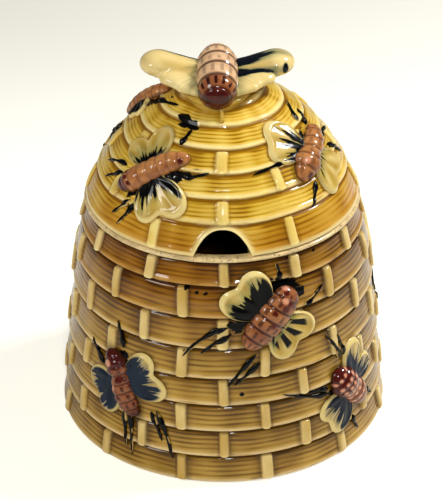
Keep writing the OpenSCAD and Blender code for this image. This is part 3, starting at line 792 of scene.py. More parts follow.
# %% The lid's section
FLANGE_OUT = MOUTH_R - 0.5
FLANGE_IN = FLANGE_OUT - 2.6
FLANGE_Z = RIM_H - 4
inner_phi = np.radians(np.linspace(88, 24, 12))
under = []
for phi in inner_phi:
    s = float(np.interp(phi, table_phi, dome_run))
    r, z, out_r, out_z = (float(v) for v in lid_wall.at(s))
    if r - LID_WALL * out_r < FLANGE_IN - 0.3:
        under.append((r - LID_WALL * out_r, z - LID_WALL * out_z))
under = [(0, LID_Z + DOME_H - LID_WALL)] + under
UNDER_END = len(under)
low_under = under[-1][1] - 2
flange = [(FLANGE_IN, z) for z in (low_under, 75.5, 73, 70.5, FLANGE_Z + 0.4)]
flange += [(FLANGE_IN + 0.4, FLANGE_Z), (FLANGE_OUT - 0.4, FLANGE_Z), (FLANGE_OUT, FLANGE_Z + 0.4),
           (FLANGE_OUT, RIM_H - 0.2), (FLANGE_OUT + 0.3, RIM_H), (LID_R - 0.9, RIM_H),
           (LID_R - 0.3, RIM_H + 0.15)]
rows = row_heights(LID_SEAMS) + [CAP_RUN]
cap = [CAP_RUN + (dome_run[-1] - CAP_RUN) * f for f in np.linspace(0, 0.99, 30)[1:]]
lid_runs = rows + cap
dome = [tuple(float(v) for v in lid_wall.at(s)[:2]) for s in lid_runs] + [(0, LID_Z + DOME_H)]
lid_section = under + flange + dome
DOME_START = len(under) + len(flange)
print("rings:", len(lid_section))

# %% The spoon notch
NOTCH_W = 16.8
NOTCH_H = 7.8
NOTCH_FULL = 1.2
NOTCH_ROUND = 0.4
NOTCH_LIP = 0.3


def notch_top(x):
    """Height of the notch's arch above the rim at a distance x from its middle, 0 outside it."""
    share = np.clip(np.abs(x) / (NOTCH_W / 2), 0, 1)
    return NOTCH_H * np.clip(1 - share ** (1 / NOTCH_ROUND), 0, 1) ** (1 / NOTCH_FULL)


def notch_gap(x, z):
    """Distance from points on the front of the lid to the notch's edge."""
    line_x = np.linspace(-NOTCH_W / 2, NOTCH_W / 2, 121)
    line_z = RIM_H + notch_top(line_x)
    return np.hypot(x[:, None] - line_x, z[:, None] - line_z).min(1)


FRONT = 22
SLIVER = 0.012
mesh, rings, turn = turn_on_wheel(lid_section, LID_COLUMNS)
section = np.array(lid_section)
edge = np.degrees(np.arcsin(STITCH_W / 2 / np.maximum(section[rings, 0], 14)))
NOTCH_TURN = float(np.degrees(np.arcsin(NOTCH_W / 2 / LID_R)))
turn = np.where(np.abs(turn) > FRONT, crowd(turn, 30, np.minimum(edge, 8)), turn)
step = 360 / LID_COLUMNS
side = np.abs(turn)
last_in = np.floor(NOTCH_TURN / step) * step
first_out, next_column = last_in + step, FRONT + 0.5
inside = side * (NOTCH_TURN - SLIVER) / last_in
beside = (side - first_out) * (next_column - NOTCH_TURN) / (next_column - first_out)
pull = np.where(side <= last_in, inside, NOTCH_TURN + SLIVER + beside)
turn = np.where(side <= FRONT, np.sign(turn) * pull, turn)
cut = np.abs(turn) < NOTCH_TURN
print("columns in the notch:", int(round(2 * last_in / step)) + 1)

# %% The lid's points before its relief
runs = np.interp(rings, np.arange(DOME_START, DOME_START + len(lid_runs)), lid_runs)
on_dome = rings >= DOME_START
x_out = LID_R * np.sin(np.radians(turn))
arch = notch_top(x_out)
arch_run = np.interp(LID_Z + np.maximum(arch - 0.6, 0), dome_z, dome_run)
SQUEEZE = float(LID_SEAMS[2])
squeezed = arch_run + (SQUEEZE - arch_run) * runs / SQUEEZE
runs = np.where(cut & on_dome & (runs < SQUEEZE), squeezed, runs)
r, z, out_r, out_z = lid_wall.at(runs)
last = rings == len(lid_section) - 1
r, z = np.where(last, 0, r), np.where(last, LID_Z + DOME_H, z)
base_r = np.where(on_dome, r, section[rings, 0])
base_z = np.where(on_dome, z, section[rings, 1])
arch_z = RIM_H + arch
UNDER_TOP = 90
inner_cut = cut & (rings <= UNDER_END) & (section[rings, 1] < UNDER_TOP)
lifted = UNDER_TOP - (UNDER_TOP - base_z) * (UNDER_TOP - arch_z) / (UNDER_TOP - low_under)
under_z = np.array([low_under] + [z for _, z in under[::-1]])
under_r = np.array([FLANGE_IN] + [r for r, _ in under[::-1]])
base_r = np.where(inner_cut, np.interp(lifted, under_z, under_r), base_r)
base_z = np.where(inner_cut, lifted, base_z)
soffit = cut & (rings > UNDER_END) & ~on_dome
arch_in = np.interp(arch_z, under_z, under_r)
arch_out = np.interp(arch_run, dome_run, dome_r)
share = np.clip((rings - UNDER_END) / (DOME_START - UNDER_END), 0, 1)
base_r = np.where(soffit, arch_in + (arch_out - arch_in) * share, base_r)
base_z = np.where(soffit, arch_z, base_z)
print("arch height:", round(float(arch.max()), 2), "mm")

# %% The lid itself
NEAR_NOTCH = 30
ALL_LID_SEAMS = np.append(LID_SEAMS, CAP_SEAMS)
relief = basket(turn, runs, np.maximum(r, 10), ALL_LID_SEAMS, LID_STITCHES, LID_RELIEF)
on_wall = on_dome.astype(float)
rows_part = smooth(1, 6, r) * on_wall
a = np.radians(turn)
plain = np.stack([base_r * np.sin(a), -base_r * np.cos(a), base_z], 1)
at_edge = np.exp(-(notch_gap(plain[:, 0], base_z) / 0.95) ** 2) * (np.abs(turn) < NEAR_NOTCH)
free = (1 - at_edge) * smooth(0.1, 0.9, runs)
lift = relief["height"] * rows_part * free * pressed("lid", plain) + NOTCH_LIP * at_edge * on_wall
rho = np.maximum(base_r + lift * out_r * on_wall, 0)
co = np.stack([rho * np.sin(a), -rho * np.cos(a), base_z + lift * out_z * on_wall], 1)
co[base_r < 0.001, :2] = 0
set_points(mesh, co)
# The edge round the notch and the lid's lowest band are painted pale: partly thin glaze on an edge, partly
# a painted highlight.
lid_edge_pale_and_highlight = np.maximum(at_edge, (1 - smooth(0.3, 1.3, runs)) * on_dome * 0.8)
low_amber = 0.1 + 0.8 * (1 - smooth(1, 14, runs))
wall_paint(mesh, relief, rows_part * (1 - 0.9 * at_edge), "lid", plain, 0 * runs, lid_edge_pale_and_highlight, low_amber)
finish_piece("lid", mesh, "lid", ["lid_shell", "lid_stitches"], lid_glaze)

# %% [markdown]
# ## Bee sprigs
# All bees come from one kind of mould: a ringed body, a pad with two lobes for the wings of each side,
# and thin bent legs. Each starts as a spun outline or a sphere, is shaped flat and then laid on its
# wall. The bodies differ: some are slim and bent, one is broad, and one has a round head end. A
# shape's head and waist are each a place along the body, from -1 at its tail to 1, and a strength.

# %% The sprig's body
SUNK = 1.2
BODY_BLUNT = 2.8
SHAPES = {
    "pot_left": dict(rings=8, tall=3.6, bend=0.7, head=(0.6, 1.0), waist=(0.22, 0.16), tail=0.95),
    "pot_front": dict(rings=6, tall=3.8, bend=0.2, head=(0.72, 0.5), waist=(0.5, 0.05), tail=0.9),
    "pot_right": dict(rings=7, tall=3.8, bend=-0.3, head=(0.5, 1.25), waist=(0.0, 0.14), tail=0.8),
    "lid_left": dict(rings=8, tall=3.4, bend=-0.3, head=(-0.6, 1.3), waist=(0.6, 0.0), tail=1.0),
    "lid_far_left": dict(rings=8, tall=2.6, bend=0.0, head=(0.6, 0.2), waist=(0.6, 0.0), tail=0.9),
    "lid_right": dict(rings=6, tall=3.6, bend=0.4, head=(0.5, 2.8), waist=(0.1, 0.08), tail=0.95)}
PLAIN_SHAPE = dict(rings=7, tall=3.6, bend=0.0, head=(0.65, 0.6), waist=(0.35, 0.12), tail=0.85)


def spun_body(length, thick, ring_ends, blunt, columns, steps):
    """A barrel along Y whose rings end at the given shares of its half length: returns its bmesh."""
    bm = bmesh.new()
    chain = []
    for t in np.sin(np.linspace(-math.pi / 2, math.pi / 2, steps)):
        full = max(1 - abs(t) ** blunt, 0) ** 0.45
        ring = abs(math.sin(math.pi * np.interp(t, ring_ends, range(len(ring_ends))))) ** 0.55
        chain.append(bm.verts.new((thick / 2 * full * (0.88 + 0.12 * ring), t * length / 2, 0)))
    edges = [bm.edges.new(pair) for pair in zip(chain, chain[1:])]
    bmesh.ops.spin(bm, geom=chain + edges, cent=(0, 0, 0), axis=(0, 1, 0), angle=2 * math.pi,
                   steps=columns, use_merge=True, use_duplicate=False)
    bmesh.ops.remove_doubles(bm, verts=bm.verts, dist=0.001)
    return bm


def mesh_from(bm):
    bmesh.ops.recalc_face_normals(bm, faces=bm.faces)
    mesh = bpy.data.meshes.new("sprig")
    bm.to_mesh(mesh)
    bm.free()
    return mesh


def shape_body(flat, shape, width, length):
    """Gives a barrel of width and height 2 its bee's own size, waist, tail and bend."""
    t = flat[:, 1] / (BEE_L / 2)
    at, strength = shape["head"]
    fat = 1 + 0.12 * strength * np.exp(-((t - at) / 0.3) ** 2)
    at, strength = shape["waist"]
    fat = fat * (1 - strength * np.exp(-((t - at) / 0.12) ** 2))
    fat = fat * (shape["tail"] + (1 - shape["tail"]) * smooth(-1, 0, t))
    x = flat[:, 0] * fat * width / 2 + shape["bend"] * np.sin(math.pi * t)
    top = flat[:, 2] * fat * shape["tall"]
    return np.stack([x, t * length / 2, np.where(flat[:, 2] > 0, top, flat[:, 2] * SUNK)], 1)


print("shapes of their own:", ", ".join(SHAPES))


# %% The sprig's wings
def wing_pads(name):
    """Two closed pads with raised rims, flat: a mesh, and each point's hand, share of reach and flute."""
    bm = bmesh.new()
    for hand in (-1, 1):
        ball = bmesh.ops.create_uvsphere(bm, u_segments=120, v_segments=48, radius=1)["verts"]
        bmesh.ops.translate(bm, vec=(2 * hand, 0, 0), verts=ball)
    mesh = mesh_from(bm)
    co = points_of(mesh)
    hand = np.sign(co[:, 0])
    out, ahead = co[:, 0] * hand - 2, co[:, 1]
    share = np.clip(np.hypot(out, ahead), 0, 1)
    angle = np.arctan2(ahead, out)
    left, right = WINGS.get(name, PLAIN_WINGS)
    reach = np.where(hand < 0, wing_reach(angle, left), wing_reach(angle, right))
    rim = np.exp(-((share - 0.9) / 0.065) ** 2)
    flute = np.cos(angle * 10) * np.exp(-((share - 0.62) / 0.26) ** 2)
    top = (0.75 + 0.5 * rim + 0.35 * (1 - share) + 0.16 * flute) * np.sqrt(1 - share ** 9)
    height = np.where(co[:, 2] > 0, top, -SUNK * np.sqrt(1 - share ** 2))
    x = hand * (ROOT_X + share * reach * np.cos(angle))
    set_points(mesh, np.stack([x, ROOT_Y + share * reach * np.sin(angle), height], 1))
    return mesh, hand, share, flute


print("the plain bee's wing has its tips at", PLAIN_WINGS[0][0], "and", PLAIN_WINGS[0][2], "degrees")


# %% [markdown]
# ## Legs
# A leg is thin and bent, and swells at the thigh and again at the shin. It could be a tube along a
# curve, but it has to lie flat on the wall, so a sphere is drawn out along the bend instead. Each leg
# has its root, knee and tip, right and forward of the bee's middle.

# %% The sprig's legs
LEGS = {
    "pot_left": [((-3.8, -8.4), (-5.8, -12), (-9, -19.4)), ((-2.2, -10), (-3.6, -13), (-8.1, -22.5)),
                 ((5.4, -10.6), (5.4, -14.5), (4.4, -20.3)), ((7.2, -10.8), (7.6, -17), (4.7, -26.5)),
                 ((5.0, 10.2), (6.6, 13), (6.7, 18.4)), ((-5.6, 6.4), (-6.8, 9), (-7.7, 14.8))],
    "pot_front": [((-8.4, -8.6), (-12.5, -14), (-12, -23.7)), ((-6.2, -10), (-8.2, -13.5), (-9, -20.1)),
                  ((3.6, -11), (3.0, -17), (3.4, -24)), ((6.3, -12.5), (5.4, -17), (4.6, -22.5)),
                  ((7.0, 8.0), (8.8, 10.4), (9.3, 16.1)), ((-5, 11), (-6.2, 13), (-9.1, 14.5))],
    "pot_right": [((-5.8, 7), (-9.1, 10.2), (-13.9, 20.5)), ((-5, 8.4), (-6.1, 10.6), (-9.6, 14.3)),
                  ((4.4, 10.8), (6, 13.7), (6.7, 22)), ((6, 9.6), (7.9, 12.2), (9.3, 18.4)),
                  ((-5.8, -9), (-7.4, -11), (-7.5, -15.6)), ((3, -10), (4.5, -12), (4.2, -16))],
    "lid_left": [((5.4, -9), (6, -12), (5.9, -17.1)), ((7, -8), (8.6, -10.5), (9.9, -16.3)),
                 ((-5.4, -8.4), (-8.3, -11), (-11.6, -17)), ((-3.8, -10), (-4.7, -13), (-6.5, -18)),
                 ((5, 8.8), (6, 11), (5.8, 16)), ((-4.6, 10), (-6.2, 11.8), (-8.5, 14))],
    "lid_right": [((6, 7.4), (8.8, 10), (13.5, 15.2)), ((-4.6, 7.4), (-5.8, 9.8), (-7, 14.9)),
                  ((2.2, -9.4), (3.2, -11), (5.5, -14.1)), ((-6.8, -8.4), (-9.9, -11), (-15.3, -13.4)),
                  ((-4, -9), (-5, -12), (-6, -16)), ((5.6, -8), (7.4, -10), (9.5, -15))]}
RIGHT_LEGS = [((5, -9), (7.2, -13), (7.5, -21)), ((6.6, -8), (8.6, -10.5), (9, -14)),
              ((4.6, 9), (6.4, 11.5), (7.5, 17))]
PLAIN_LEGS = [[(hand * x, y) for x, y in leg] for hand in (-1, 1) for leg in RIGHT_LEGS]


def leg_strokes(name):
    """Thin closed legs, flat: a mesh, and how far across its leg each point lies, -1 to 1."""
    bm = bmesh.new()
    across = []
    for root, knee, tip in LEGS.get(name, PLAIN_LEGS):
        ball = bmesh.ops.create_uvsphere(bm, u_segments=18, v_segments=52, radius=1)["verts"]
        p0, p1, p2 = (np.array(p, float) for p in (root, knee, tip))
        for vert in ball:
            x, y, z = vert.co
            t = (z + 1) / 2
            ring = math.hypot(x, y)
            at = (1 - t) ** 2 * p0 + 2 * t * (1 - t) * p1 + t * t * p2
            run = 2 * (1 - t) * (p1 - p0) + 2 * t * (p2 - p1)
            run = run / np.hypot(*run)
            thigh = math.exp(-((t - 0.3) / 0.2) ** 2)
            shin = math.exp(-((t - 0.78) / 0.12) ** 2)
            half = (0.3 + 0.65 * thigh + 0.2 * shin) * min(ring * 1.6, 1)
            edge, rise = x / max(ring, 1e-6), y / max(ring, 1e-6)
            height = 0.25 + (0.2 + 0.3 * thigh) * rise * min(ring * 1.5, 1)
            low = -0.9 * abs(y) + 0.15 * ring
            across.append(edge)
            off = edge * half
            vert.co = (at[0] - run[1] * off, at[1] + run[0] * off, height if y > 0 else low)
    return mesh_from(bm), np.array(across)


print("legs drawn one by one:", sum(len(legs) for legs in LEGS.values()))

# %% [markdown]
# ## Bee glazes
# The bees were painted by hand over the honey glaze: russet rings with dark dashes, maroon ends, and
# black strokes that fan out over cream wings. The strokes aren't modelled or drawn one by one. The
# shader knows how far out on the wing a point is and at what angle, and noise ends each stroke.
# A look says how warm the body is, from russet to tan, how strong its dashes and ring lines are,
# where along it the maroon of the head and of the tail starts, and how many dashes a ring has.

# %% Looks of the bodies
NEVER = 9


def body_look(seed, warm, dash, lines, dark_head=NEVER, dark_tail=NEVER, spacing=44):
    return dict(warm=warm, dash=dash, lines=lines, dark_head=dark_head, dark_tail=dark_tail, seed=seed,
                rate=1 / spacing)


LOOKS = {
    "pot_left": body_look(1, 0.2, 0.8, 0.8, dark_head=0.42, dark_tail=0.82),
    "pot_front": body_look(2, 0.45, 0.7, 0.95, spacing=38),
    "pot_right": body_look(3, 0.3, 0.4, 0.6, dark_head=0.22, spacing=40),
    "lid_left": body_look(4, 0.85, 0.1, 0.3, dark_tail=0.62),
    "lid_right": body_look(5, 0.75, 0.4, 0.6),
    "lid_far_left": body_look(7, 0.8, 0.3, 0.5),
    "lid_back": body_look(8, 0.8, 0.3, 0.5)}
GUESSED_LOOK = body_look(6, 0.4, 0.7, 0.7, dark_head=0.6, dark_tail=0.8, spacing=42)
DARK_SPOTS = {
    "pot_left": [(-1.6, 8.8, 1.3), (1.6, 1.6, 1.2), (-1.4, -3.6, 0.8)],
    "pot_front": [(-1.9, 9.2, 0.9), (2.8, 7.4, 1.5), (0.4, 5.0, 1.2), (0.8, 6.8, 1.0), (-1.6, 2.6, 0.9),
                  (0.6, -0.8, 0.8)],
    "pot_right": [(-2.4, 7.2, 1.2), (1.8, 7.8, 1.2)],
    "lid_left": [(1.0, 9.6, 0.8), (-1.8, -6.8, 0.7), (0, -7.0, 0.7), (1.9, -6.6, 0.7)],
    "lid_right": [(-1.2, 8.6, 1.0)]}
PALE_SPOTS = {
    "pot_left": [(0.1, 7.0, 1.1), (-1.8, -0.4, 0.8)],
    "pot_front": [(-2.8, 10.2, 1.0), (4.2, 7.4, 0.8), (-1.0, 7.0, 1.0)],
    "pot_right": [(x, y, 0.62) for y in (8, 5.8, 3.6, 1.4, -0.8, -3) for x in (-3.2, -1.2, 0.8, 2.8)],
    "lid_right": [(2.2, 6.0, 0.9)]}
print("dabs of colour on the front bee:", len(DARK_SPOTS["pot_front"] + PALE_SPOTS["pot_front"]))


# %% Bee body glaze
def body_paint(mesh, flat, length, ring_ends, looks, dark=(), pale=()):
    """What the bee glaze reads. A value of the look may be one number, or one for each point."""
    paint(mesh, "ring", np.interp(flat[:, 1] / (length / 2), ring_ends, range(len(ring_ends))))
    paint(mesh, "around", np.degrees(np.arctan2(flat[:, 0], np.abs(flat[:, 2]))))
    paint(mesh, "along", flat[:, 1] / (length / 2))
    for key, value in looks.items():
        paint(mesh, key, np.zeros(len(flat)) + value)
    for key, spots in (("dark", dark), ("pale", pale)):
        mask = np.zeros(len(flat))
        for x, y, size in spots:
            far = np.hypot(flat[:, 0] - x, flat[:, 1] - y)
            mask = np.maximum(mask, 1 - smooth(size * 0.7, size * 1.15, far))
        paint(mesh, key, mask)


def bee_body_glaze():
    s = Shader("bee_glaze")
    ring, around, along = s.number("ring"), s.number("around"), s.number("along")
    smear = s.noise(500, 3)
    tan = s.mix(smear, colour(168, 98, 40), colour(216, 158, 96))
    russet = s.mix(smear, colour(88, 32, 16), colour(154, 84, 54))
    tint = s.mix(s.number("warm"), russet, tan)
    tint = s.mix(s.times(s.step(0.42, 0.62, s.noise(150, 3)), 0.65), tint, russet)
    # On the knob the upper rings are painted pale: partly their own pale tan, partly a painted highlight.
    tint = s.mix(s.number("fair"), tint, s.mix(smear, colour(226, 172, 112), colour(250, 222, 184)))
    valley = s.maths("ABSOLUTE", s.maths("SINE", s.times(ring, math.pi)))
    line = s.minus(1, s.step(0.1, 0.6, valley))
    tint = s.mix(s.times(line, s.number("lines")), tint, colour(60, 20, 8))
    start = s.scaled(s.maths("FLOOR", ring), 0.31, s.number("seed"))
    cell = s.maths("PINGPONG", s.scaled(around, s.number("rate"), start), 0.5)
    dash = s.times(s.step(0.27, 0.33, cell), s.step(0.5, 0.75, valley))
    dash = s.times(dash, s.step(0.3, 0.45, s.noise(260, 1)))
    tint = s.mix(s.times(dash, s.number("dash")), tint, colour(50, 16, 12))
    maroon = s.mix(smear, colour(52, 10, 8), colour(88, 22, 14))
    head = s.step(-0.06, 0.06, s.minus(along, s.number("dark_head")))
    tail = s.step(-0.06, 0.06, s.minus(s.times(along, -1), s.number("dark_tail")))
    tint = s.mix(s.maths("MAXIMUM", head, tail), tint, maroon)
    tint = s.mix(s.number("dark"), tint, colour(80, 18, 12))
    tint = s.mix(s.number("pale"), tint, s.mix(smear, colour(196, 104, 66), colour(232, 178, 146)))
    low = s.step(62, 88, s.maths("ABSOLUTE", around))
    tint = s.mix(s.times(low, 0.75), tint, colour(50, 28, 18))
    return s.gloss(tint, s.noise(700, 2), 0.25, COAT, 0.25, 0.00015)


bee_glaze = bee_body_glaze()
print("made", bee_glaze.name)

# %% [markdown]
# ## Wing and leg glazes
# Each wing has its own brushwork: how far out the black reaches, how ragged it ends, how blue it is,
# how strong the thin wash beyond it is, and whether it has strokes like commas. Inside their pale
# rims the wings are amber, where the glaze pools between the flutes.

# %% Ink on the wings
INK_KEYS = ("fill", "spread", "cold", "wash", "comma")
INKS = {
    "pot_left": ((0.7, 0.6, 0.9, 0.6, 0), (0.62, 0.75, 0.9, 0.6, 0)),
    "pot_front": ((0.5, 0.6, 0.0, 0.8, 0), (0.02, 0.3, 0.0, 0.9, 1)),
    "pot_right": ((0.55, 0.8, 0.7, 0.5, 0), (0.4, 0.8, 0.7, 0.5, 0)),
    "lid_left": ((0.17, 0.35, 0.0, 0.7, 0), (0.3, 0.8, 0.0, 0.7, 0)),
    "lid_right": ((0.06, 0.6, 0.0, 0.6, 0), (0.36, 1.2, 0.0, 0.4, 0)),
    "lid_far_left": ((0.4, 0.7, 0.2, 0.6, 0), (0.9, 0.3, 0.0, 0.6, 0))}
PLAIN_INK = ((0.4, 0.7, 0.2, 0.6, 0), (0.35, 0.8, 0.2, 0.6, 0))


def wing_glaze_material():
    s = Shader("wing_glaze")
    share, out, angle = s.number("share"), s.number("out"), s.number("angle")
    fan = s.add("ShaderNodeCombineXYZ", {"X": s.times(angle, 5.5), "Y": s.times(out, 0.7),
                                         "Z": s.number("seed")})
    strokes = s.minus(s.noise(1.6, 2, (1, 1, 1), 0.6, fan.outputs[0]), 0.5)
    inside = s.minus(1, s.step(0.84, 0.94, share))
    cream = s.mix(s.noise(120, 3), colour(212, 184, 104), colour(238, 218, 150))
    fair = s.mix(s.noise(120, 3), colour(236, 206, 122), colour(255, 240, 186))
    # The knob's wings are a paler cream.
    cream = s.mix(s.number("fair"), cream, fair)
    amber = s.mix(s.noise(200, 3), colour(160, 122, 32), colour(206, 172, 80))
    hollow = s.times(inside, s.scaled(s.number("flute"), -0.4, 0.72))
    hollow = s.times(hollow, s.minus(1, s.times(s.number("fair"), 0.5)))
    tint = s.mix(hollow, cream, amber)
    green = s.mix(s.step(0.35, 0.65, s.noise(220, 2)), colour(160, 152, 84), colour(104, 108, 62))
    grey = s.mix(s.number("cold"), green, colour(98, 108, 118))
    reach = s.scaled(s.times(strokes, s.number("spread")), 1.9, s.number("fill"))
    left = s.minus(reach, out)
    tint = s.mix(s.times(s.times(inside, s.number("wash")), s.step(-0.3, 0.05, left)), tint, grey)
    ink = s.mix(s.number("cold"), INK, s.mix(s.noise(160, 2), colour(4, 10, 22), colour(36, 52, 72)))
    root = s.times(s.step(0.0, 0.07, left), inside)
    bow = s.maths("PINGPONG", s.scaled(angle, 2.6, 0.4), 0.5)
    ends = s.times(s.step(0.02, 0.08, out), s.minus(1, s.step(0.66, 0.78, share)))
    comma = s.times(s.times(s.step(0.2, 0.27, bow), ends), s.number("comma"))
    inked = s.maths("MAXIMUM", comma, root)
    tint = s.mix(comma, s.mix(root, tint, ink), ink)
    return s.gloss(tint, s.noise(500, 2), 0.25, s.scaled(inked, COAT_LOSS, COAT), 0.25, 0.00015)


def wing_paint(mesh, inks, **places):
    """What the wing glaze reads. Each value may be one number, or one for each point."""
    for key, value in [*places.items(), *zip(INK_KEYS, inks)]:
        paint(mesh, key, np.zeros(len(mesh.vertices)) + value)


def leg_glaze_material():
    s = Shader("leg_glaze")
    edge = s.plus(s.number("side"), s.scaled(s.noise(260, 2), 1.4, -0.7))
    straw = s.mix(s.noise(300, 2), colour(176, 140, 70), colour(214, 184, 120))
    tint = s.mix(s.step(0.95, 1.1, edge), INK, straw)
    return s.gloss(tint, s.noise(700, 2), 0.25, 0.35, 0.2, 0.0001)


wing_glaze = wing_glaze_material()
leg_glaze = leg_glaze_material()
print("made", wing_glaze.name, leg_glaze.name)

# %% [markdown]
# ## Pressing the bees on
# Body and wings are laid on the bare wall, whose straw is flattened under them. The legs are too thin
# for that: they are laid over the straw, so each point is raised by the relief that it crosses.


# %% One sprig pressed on its wall
WING_OUT = 12


def wall_lift(name, co):
    """Height of the basket relief at points on a bee's wall."""
    turn, radius = np.degrees(np.arctan2(co[:, 0], -co[:, 1])), np.hypot(co[:, 0], co[:, 1])
    wall = wall_of(name)
    s = np.interp(co[:, 2], wall.height, wall.along)
    if name.startswith("lid"):
        return basket(turn, s, np.maximum(radius, 10), ALL_LID_SEAMS, LID_STITCHES, LID_RELIEF)["height"]
    return basket(turn, s, radius, POT_SEAMS, POT_STITCHES, POT_RELIEF)["height"]


def press_bee(name):
    """Makes the body, wings and legs of one bee."""
    looks = LOOKS.get(name, GUESSED_LOOK)
    body = name.split("_")[0]
    shape = SHAPES.get(name, PLAIN_SHAPE)
    ring_ends = np.linspace(-1, 1, shape["rings"] + 1)
    mesh = mesh_from(spun_body(BEE_L, 2, ring_ends, BODY_BLUNT, 56, 110))
    length = BODY_L.get(name, PLAIN_BODY_L)
    flat = shape_body(points_of(mesh), shape, BODY_W.get(name, PLAIN_BODY_W), length)
    set_points(mesh, lay(name, flat))
    body_paint(mesh, flat, length, ring_ends, looks, DARK_SPOTS.get(name, ()), PALE_SPOTS.get(name, ()))
    finish_piece(name + "_bee_body_clay", mesh, body, [name + "_bee_body"], bee_glaze)

    mesh, hand, share, flute = wing_pads(name)
    flat = points_of(mesh)
    set_points(mesh, lay(name, flat))
    left, right = (np.array(ink)[:, None] for ink in INKS.get(name, PLAIN_INK))
    out = np.abs(flat[:, 0]) - BODY_W.get(name, PLAIN_BODY_W) / 2
    wing_paint(mesh, np.where(hand < 0, left, right), share=share, out=out / WING_OUT, flute=flute,
               angle=np.arctan2(flat[:, 1], out + 5), fair=0, seed=looks["seed"] * 3.7 + hand)
    finish_piece(name + "_bee_wings_clay", mesh, body, [name + "_bee_wings"], wing_glaze)

    mesh, across = leg_strokes(name)
    flat = points_of(mesh)
    flat[:, 2] += np.maximum(wall_lift(name, lay(name, flat * [1, 1, 0])), -0.2)
    set_points(mesh, lay(name, flat))
    paint(mesh, "side", across)
    finish_piece(name + "_bee_legs_clay", mesh, body, [name + "_bee_legs"], leg_glaze)


for bee in BEES:
    press_bee(bee)
print("bees pressed on:", len(BEES))

# %% [markdown]
# ## The knob bee
# The knob is one thick bee, made to be gripped. Its body is spun like a sprig's but stays round. Its
# wings and the dish that they grow from are one soft mass of clay. So they are laid out as chains of
# stretched spheres, which a voxel remesh joins, and a smooth pass gives them the look of clay under
# glaze. A chain gives each sphere's place and half sizes in mm: X is measured from the knob's middle,
# and Y and Z are the scene's own.

# %% The knob's body
DOME_TOP_Z = LID_Z + DOME_H
KNOB_L = 25.6
KNOB_D = 12.6
KNOB_RINGS = (-1, -0.87, -0.52, -0.05, 0.36, 0.7, 1)
KNOB_AT = Vector((-1.2, -4.6, DOME_TOP_Z + 3.4))
KNOB_PITCH = math.radians(8)
KNOB_BLUNT = 3.4

mesh = mesh_from(spun_body(KNOB_L, KNOB_D, KNOB_RINGS, KNOB_BLUNT, 72, 140))
flat = points_of(mesh)
upper = smooth(-0.54, -0.5, flat[:, 1] / (KNOB_L / 2))
knob_look = body_look(8.35, 0.5, 1 - 0.6 * upper, 0.9, dark_tail=0.86, spacing=25)
# The upper rings are painted pale, partly their own pale tan and partly a painted highlight.
body_paint(mesh, flat, KNOB_L, KNOB_RINGS, dict(knob_look, fair=0.75 * upper))
mesh.transform(Matrix.Translation(KNOB_AT) @ Matrix.Rotation(KNOB_PITCH, 4, "X"))
finish_piece("knob_body_clay", mesh, "lid", ["knob_bee_body"], bee_glaze)

# %% The knob's wings and dish
FORE_LOBE = [((5, -0.5, 111.4), (4.5, 4.6, 2.6)), ((10.5, 0, 112.6), (5, 4.4, 2.6)),
             ((17, 0.6, 113.4), (5.5, 5.4, 3.6))]
HIND_LOBE = [((5, -8, 109.4), (4, 3.8, 2.1)), ((12.6, -5.0, 111.0), (4.2, 3.2, 2.0))]
DISH_EDGE = [((18.4, -0.6, 112.4), (2.4, 2.4, 2.0)), ((15.2, -4.2, 111.6), (1.9, 1.9, 1.5)),
             ((10, -9.2, 110.2), (1.9, 1.9, 1.4)), ((1.5, -12.4, 109.2), (1.9, 1.9, 1.4))]
DISH = [((0, -5.2, 107.2), (9.6, 9.8, 2.0)), ((0, -4.5, 104.6), (8, 9.4, 4.4))]
DRIP = [((1.2, -13.4, 107.6), (0.9, 0.8, 1.2)), ((1.2, -15.2, 105.4), (0.7, 0.6, 1.2)),
        ((1.2, -17.2, 103.4), (0.9, 0.8, 0.9))]
LINK = 1.4
VOXEL = 0.4


def chain_of_clay(bm, chain, hand=1):
    """Lays stretched spheres from each place and size of a chain to the next."""
    for (start, start_size), (end, end_size) in zip(chain, chain[1:]):
        count = max(3, round((Vector(end) - Vector(start)).length / LINK))
        for t in np.linspace(0, 1, count):
            at, size = Vector(start).lerp(Vector(end), t), Vector(start_size).lerp(Vector(end_size), t)
            ball = bmesh.ops.create_uvsphere(bm, u_segments=24, v_segments=16, radius=1)["verts"]
            bmesh.ops.scale(bm, vec=size, verts=ball)
            bmesh.ops.translate(bm, vec=(KNOB_AT.x + hand * at.x, at.y, at.z), verts=ball)


def melt(mesh, smoothing):
    """Joins overlapping closed forms into one skin and softens it. The mesh is in mm."""
    shell = bpy.data.objects.new("melting", mesh)
    bpy.context.scene.collection.objects.link(shell)
    join = shell.modifiers.new("join", "REMESH")
    join.mode = "VOXEL"
    join.voxel_size = VOXEL
    soft = shell.modifiers.new("soft", "SMOOTH")
    soft.factor = 0.5
    soft.iterations = smoothing
    ready = shell.evaluated_get(bpy.context.evaluated_depsgraph_get())
    done = bpy.data.meshes.new_from_object(ready)
    bpy.data.objects.remove(shell)
    return done


print("parts of the dish:", len(DISH) + len(DRIP))


# %% Painting the knob's wings
KNOB_REACH = 21


def knob_places(co):
    """How far points of the knob lie out from its body and ahead of the middle of its wings."""
    return np.abs(co[:, 0] - KNOB_AT.x) - 4, co[:, 1] + 2


def left_ink(co):
    """A dark edge along the far side of the left wing."""
    return 0.42 * smooth(0.4, 1.4, co[:, 1])


def right_ink(co):
    """The right wing's dark root, the stroke along its crease and the blot at its tip."""
    root = 0.42 * smooth(-3.5, -2.5, co[:, 1]) + 0.16 * smooth(-1.4, 0, co[:, 1])
    crease = 0.6 * np.exp(-((co[:, 1] + 4.8) / 0.8) ** 2)
    return root + crease + 1.2 * np.exp(-np.hypot(co[:, 0] - 18.8, co[:, 1] + 4.0) ** 2)


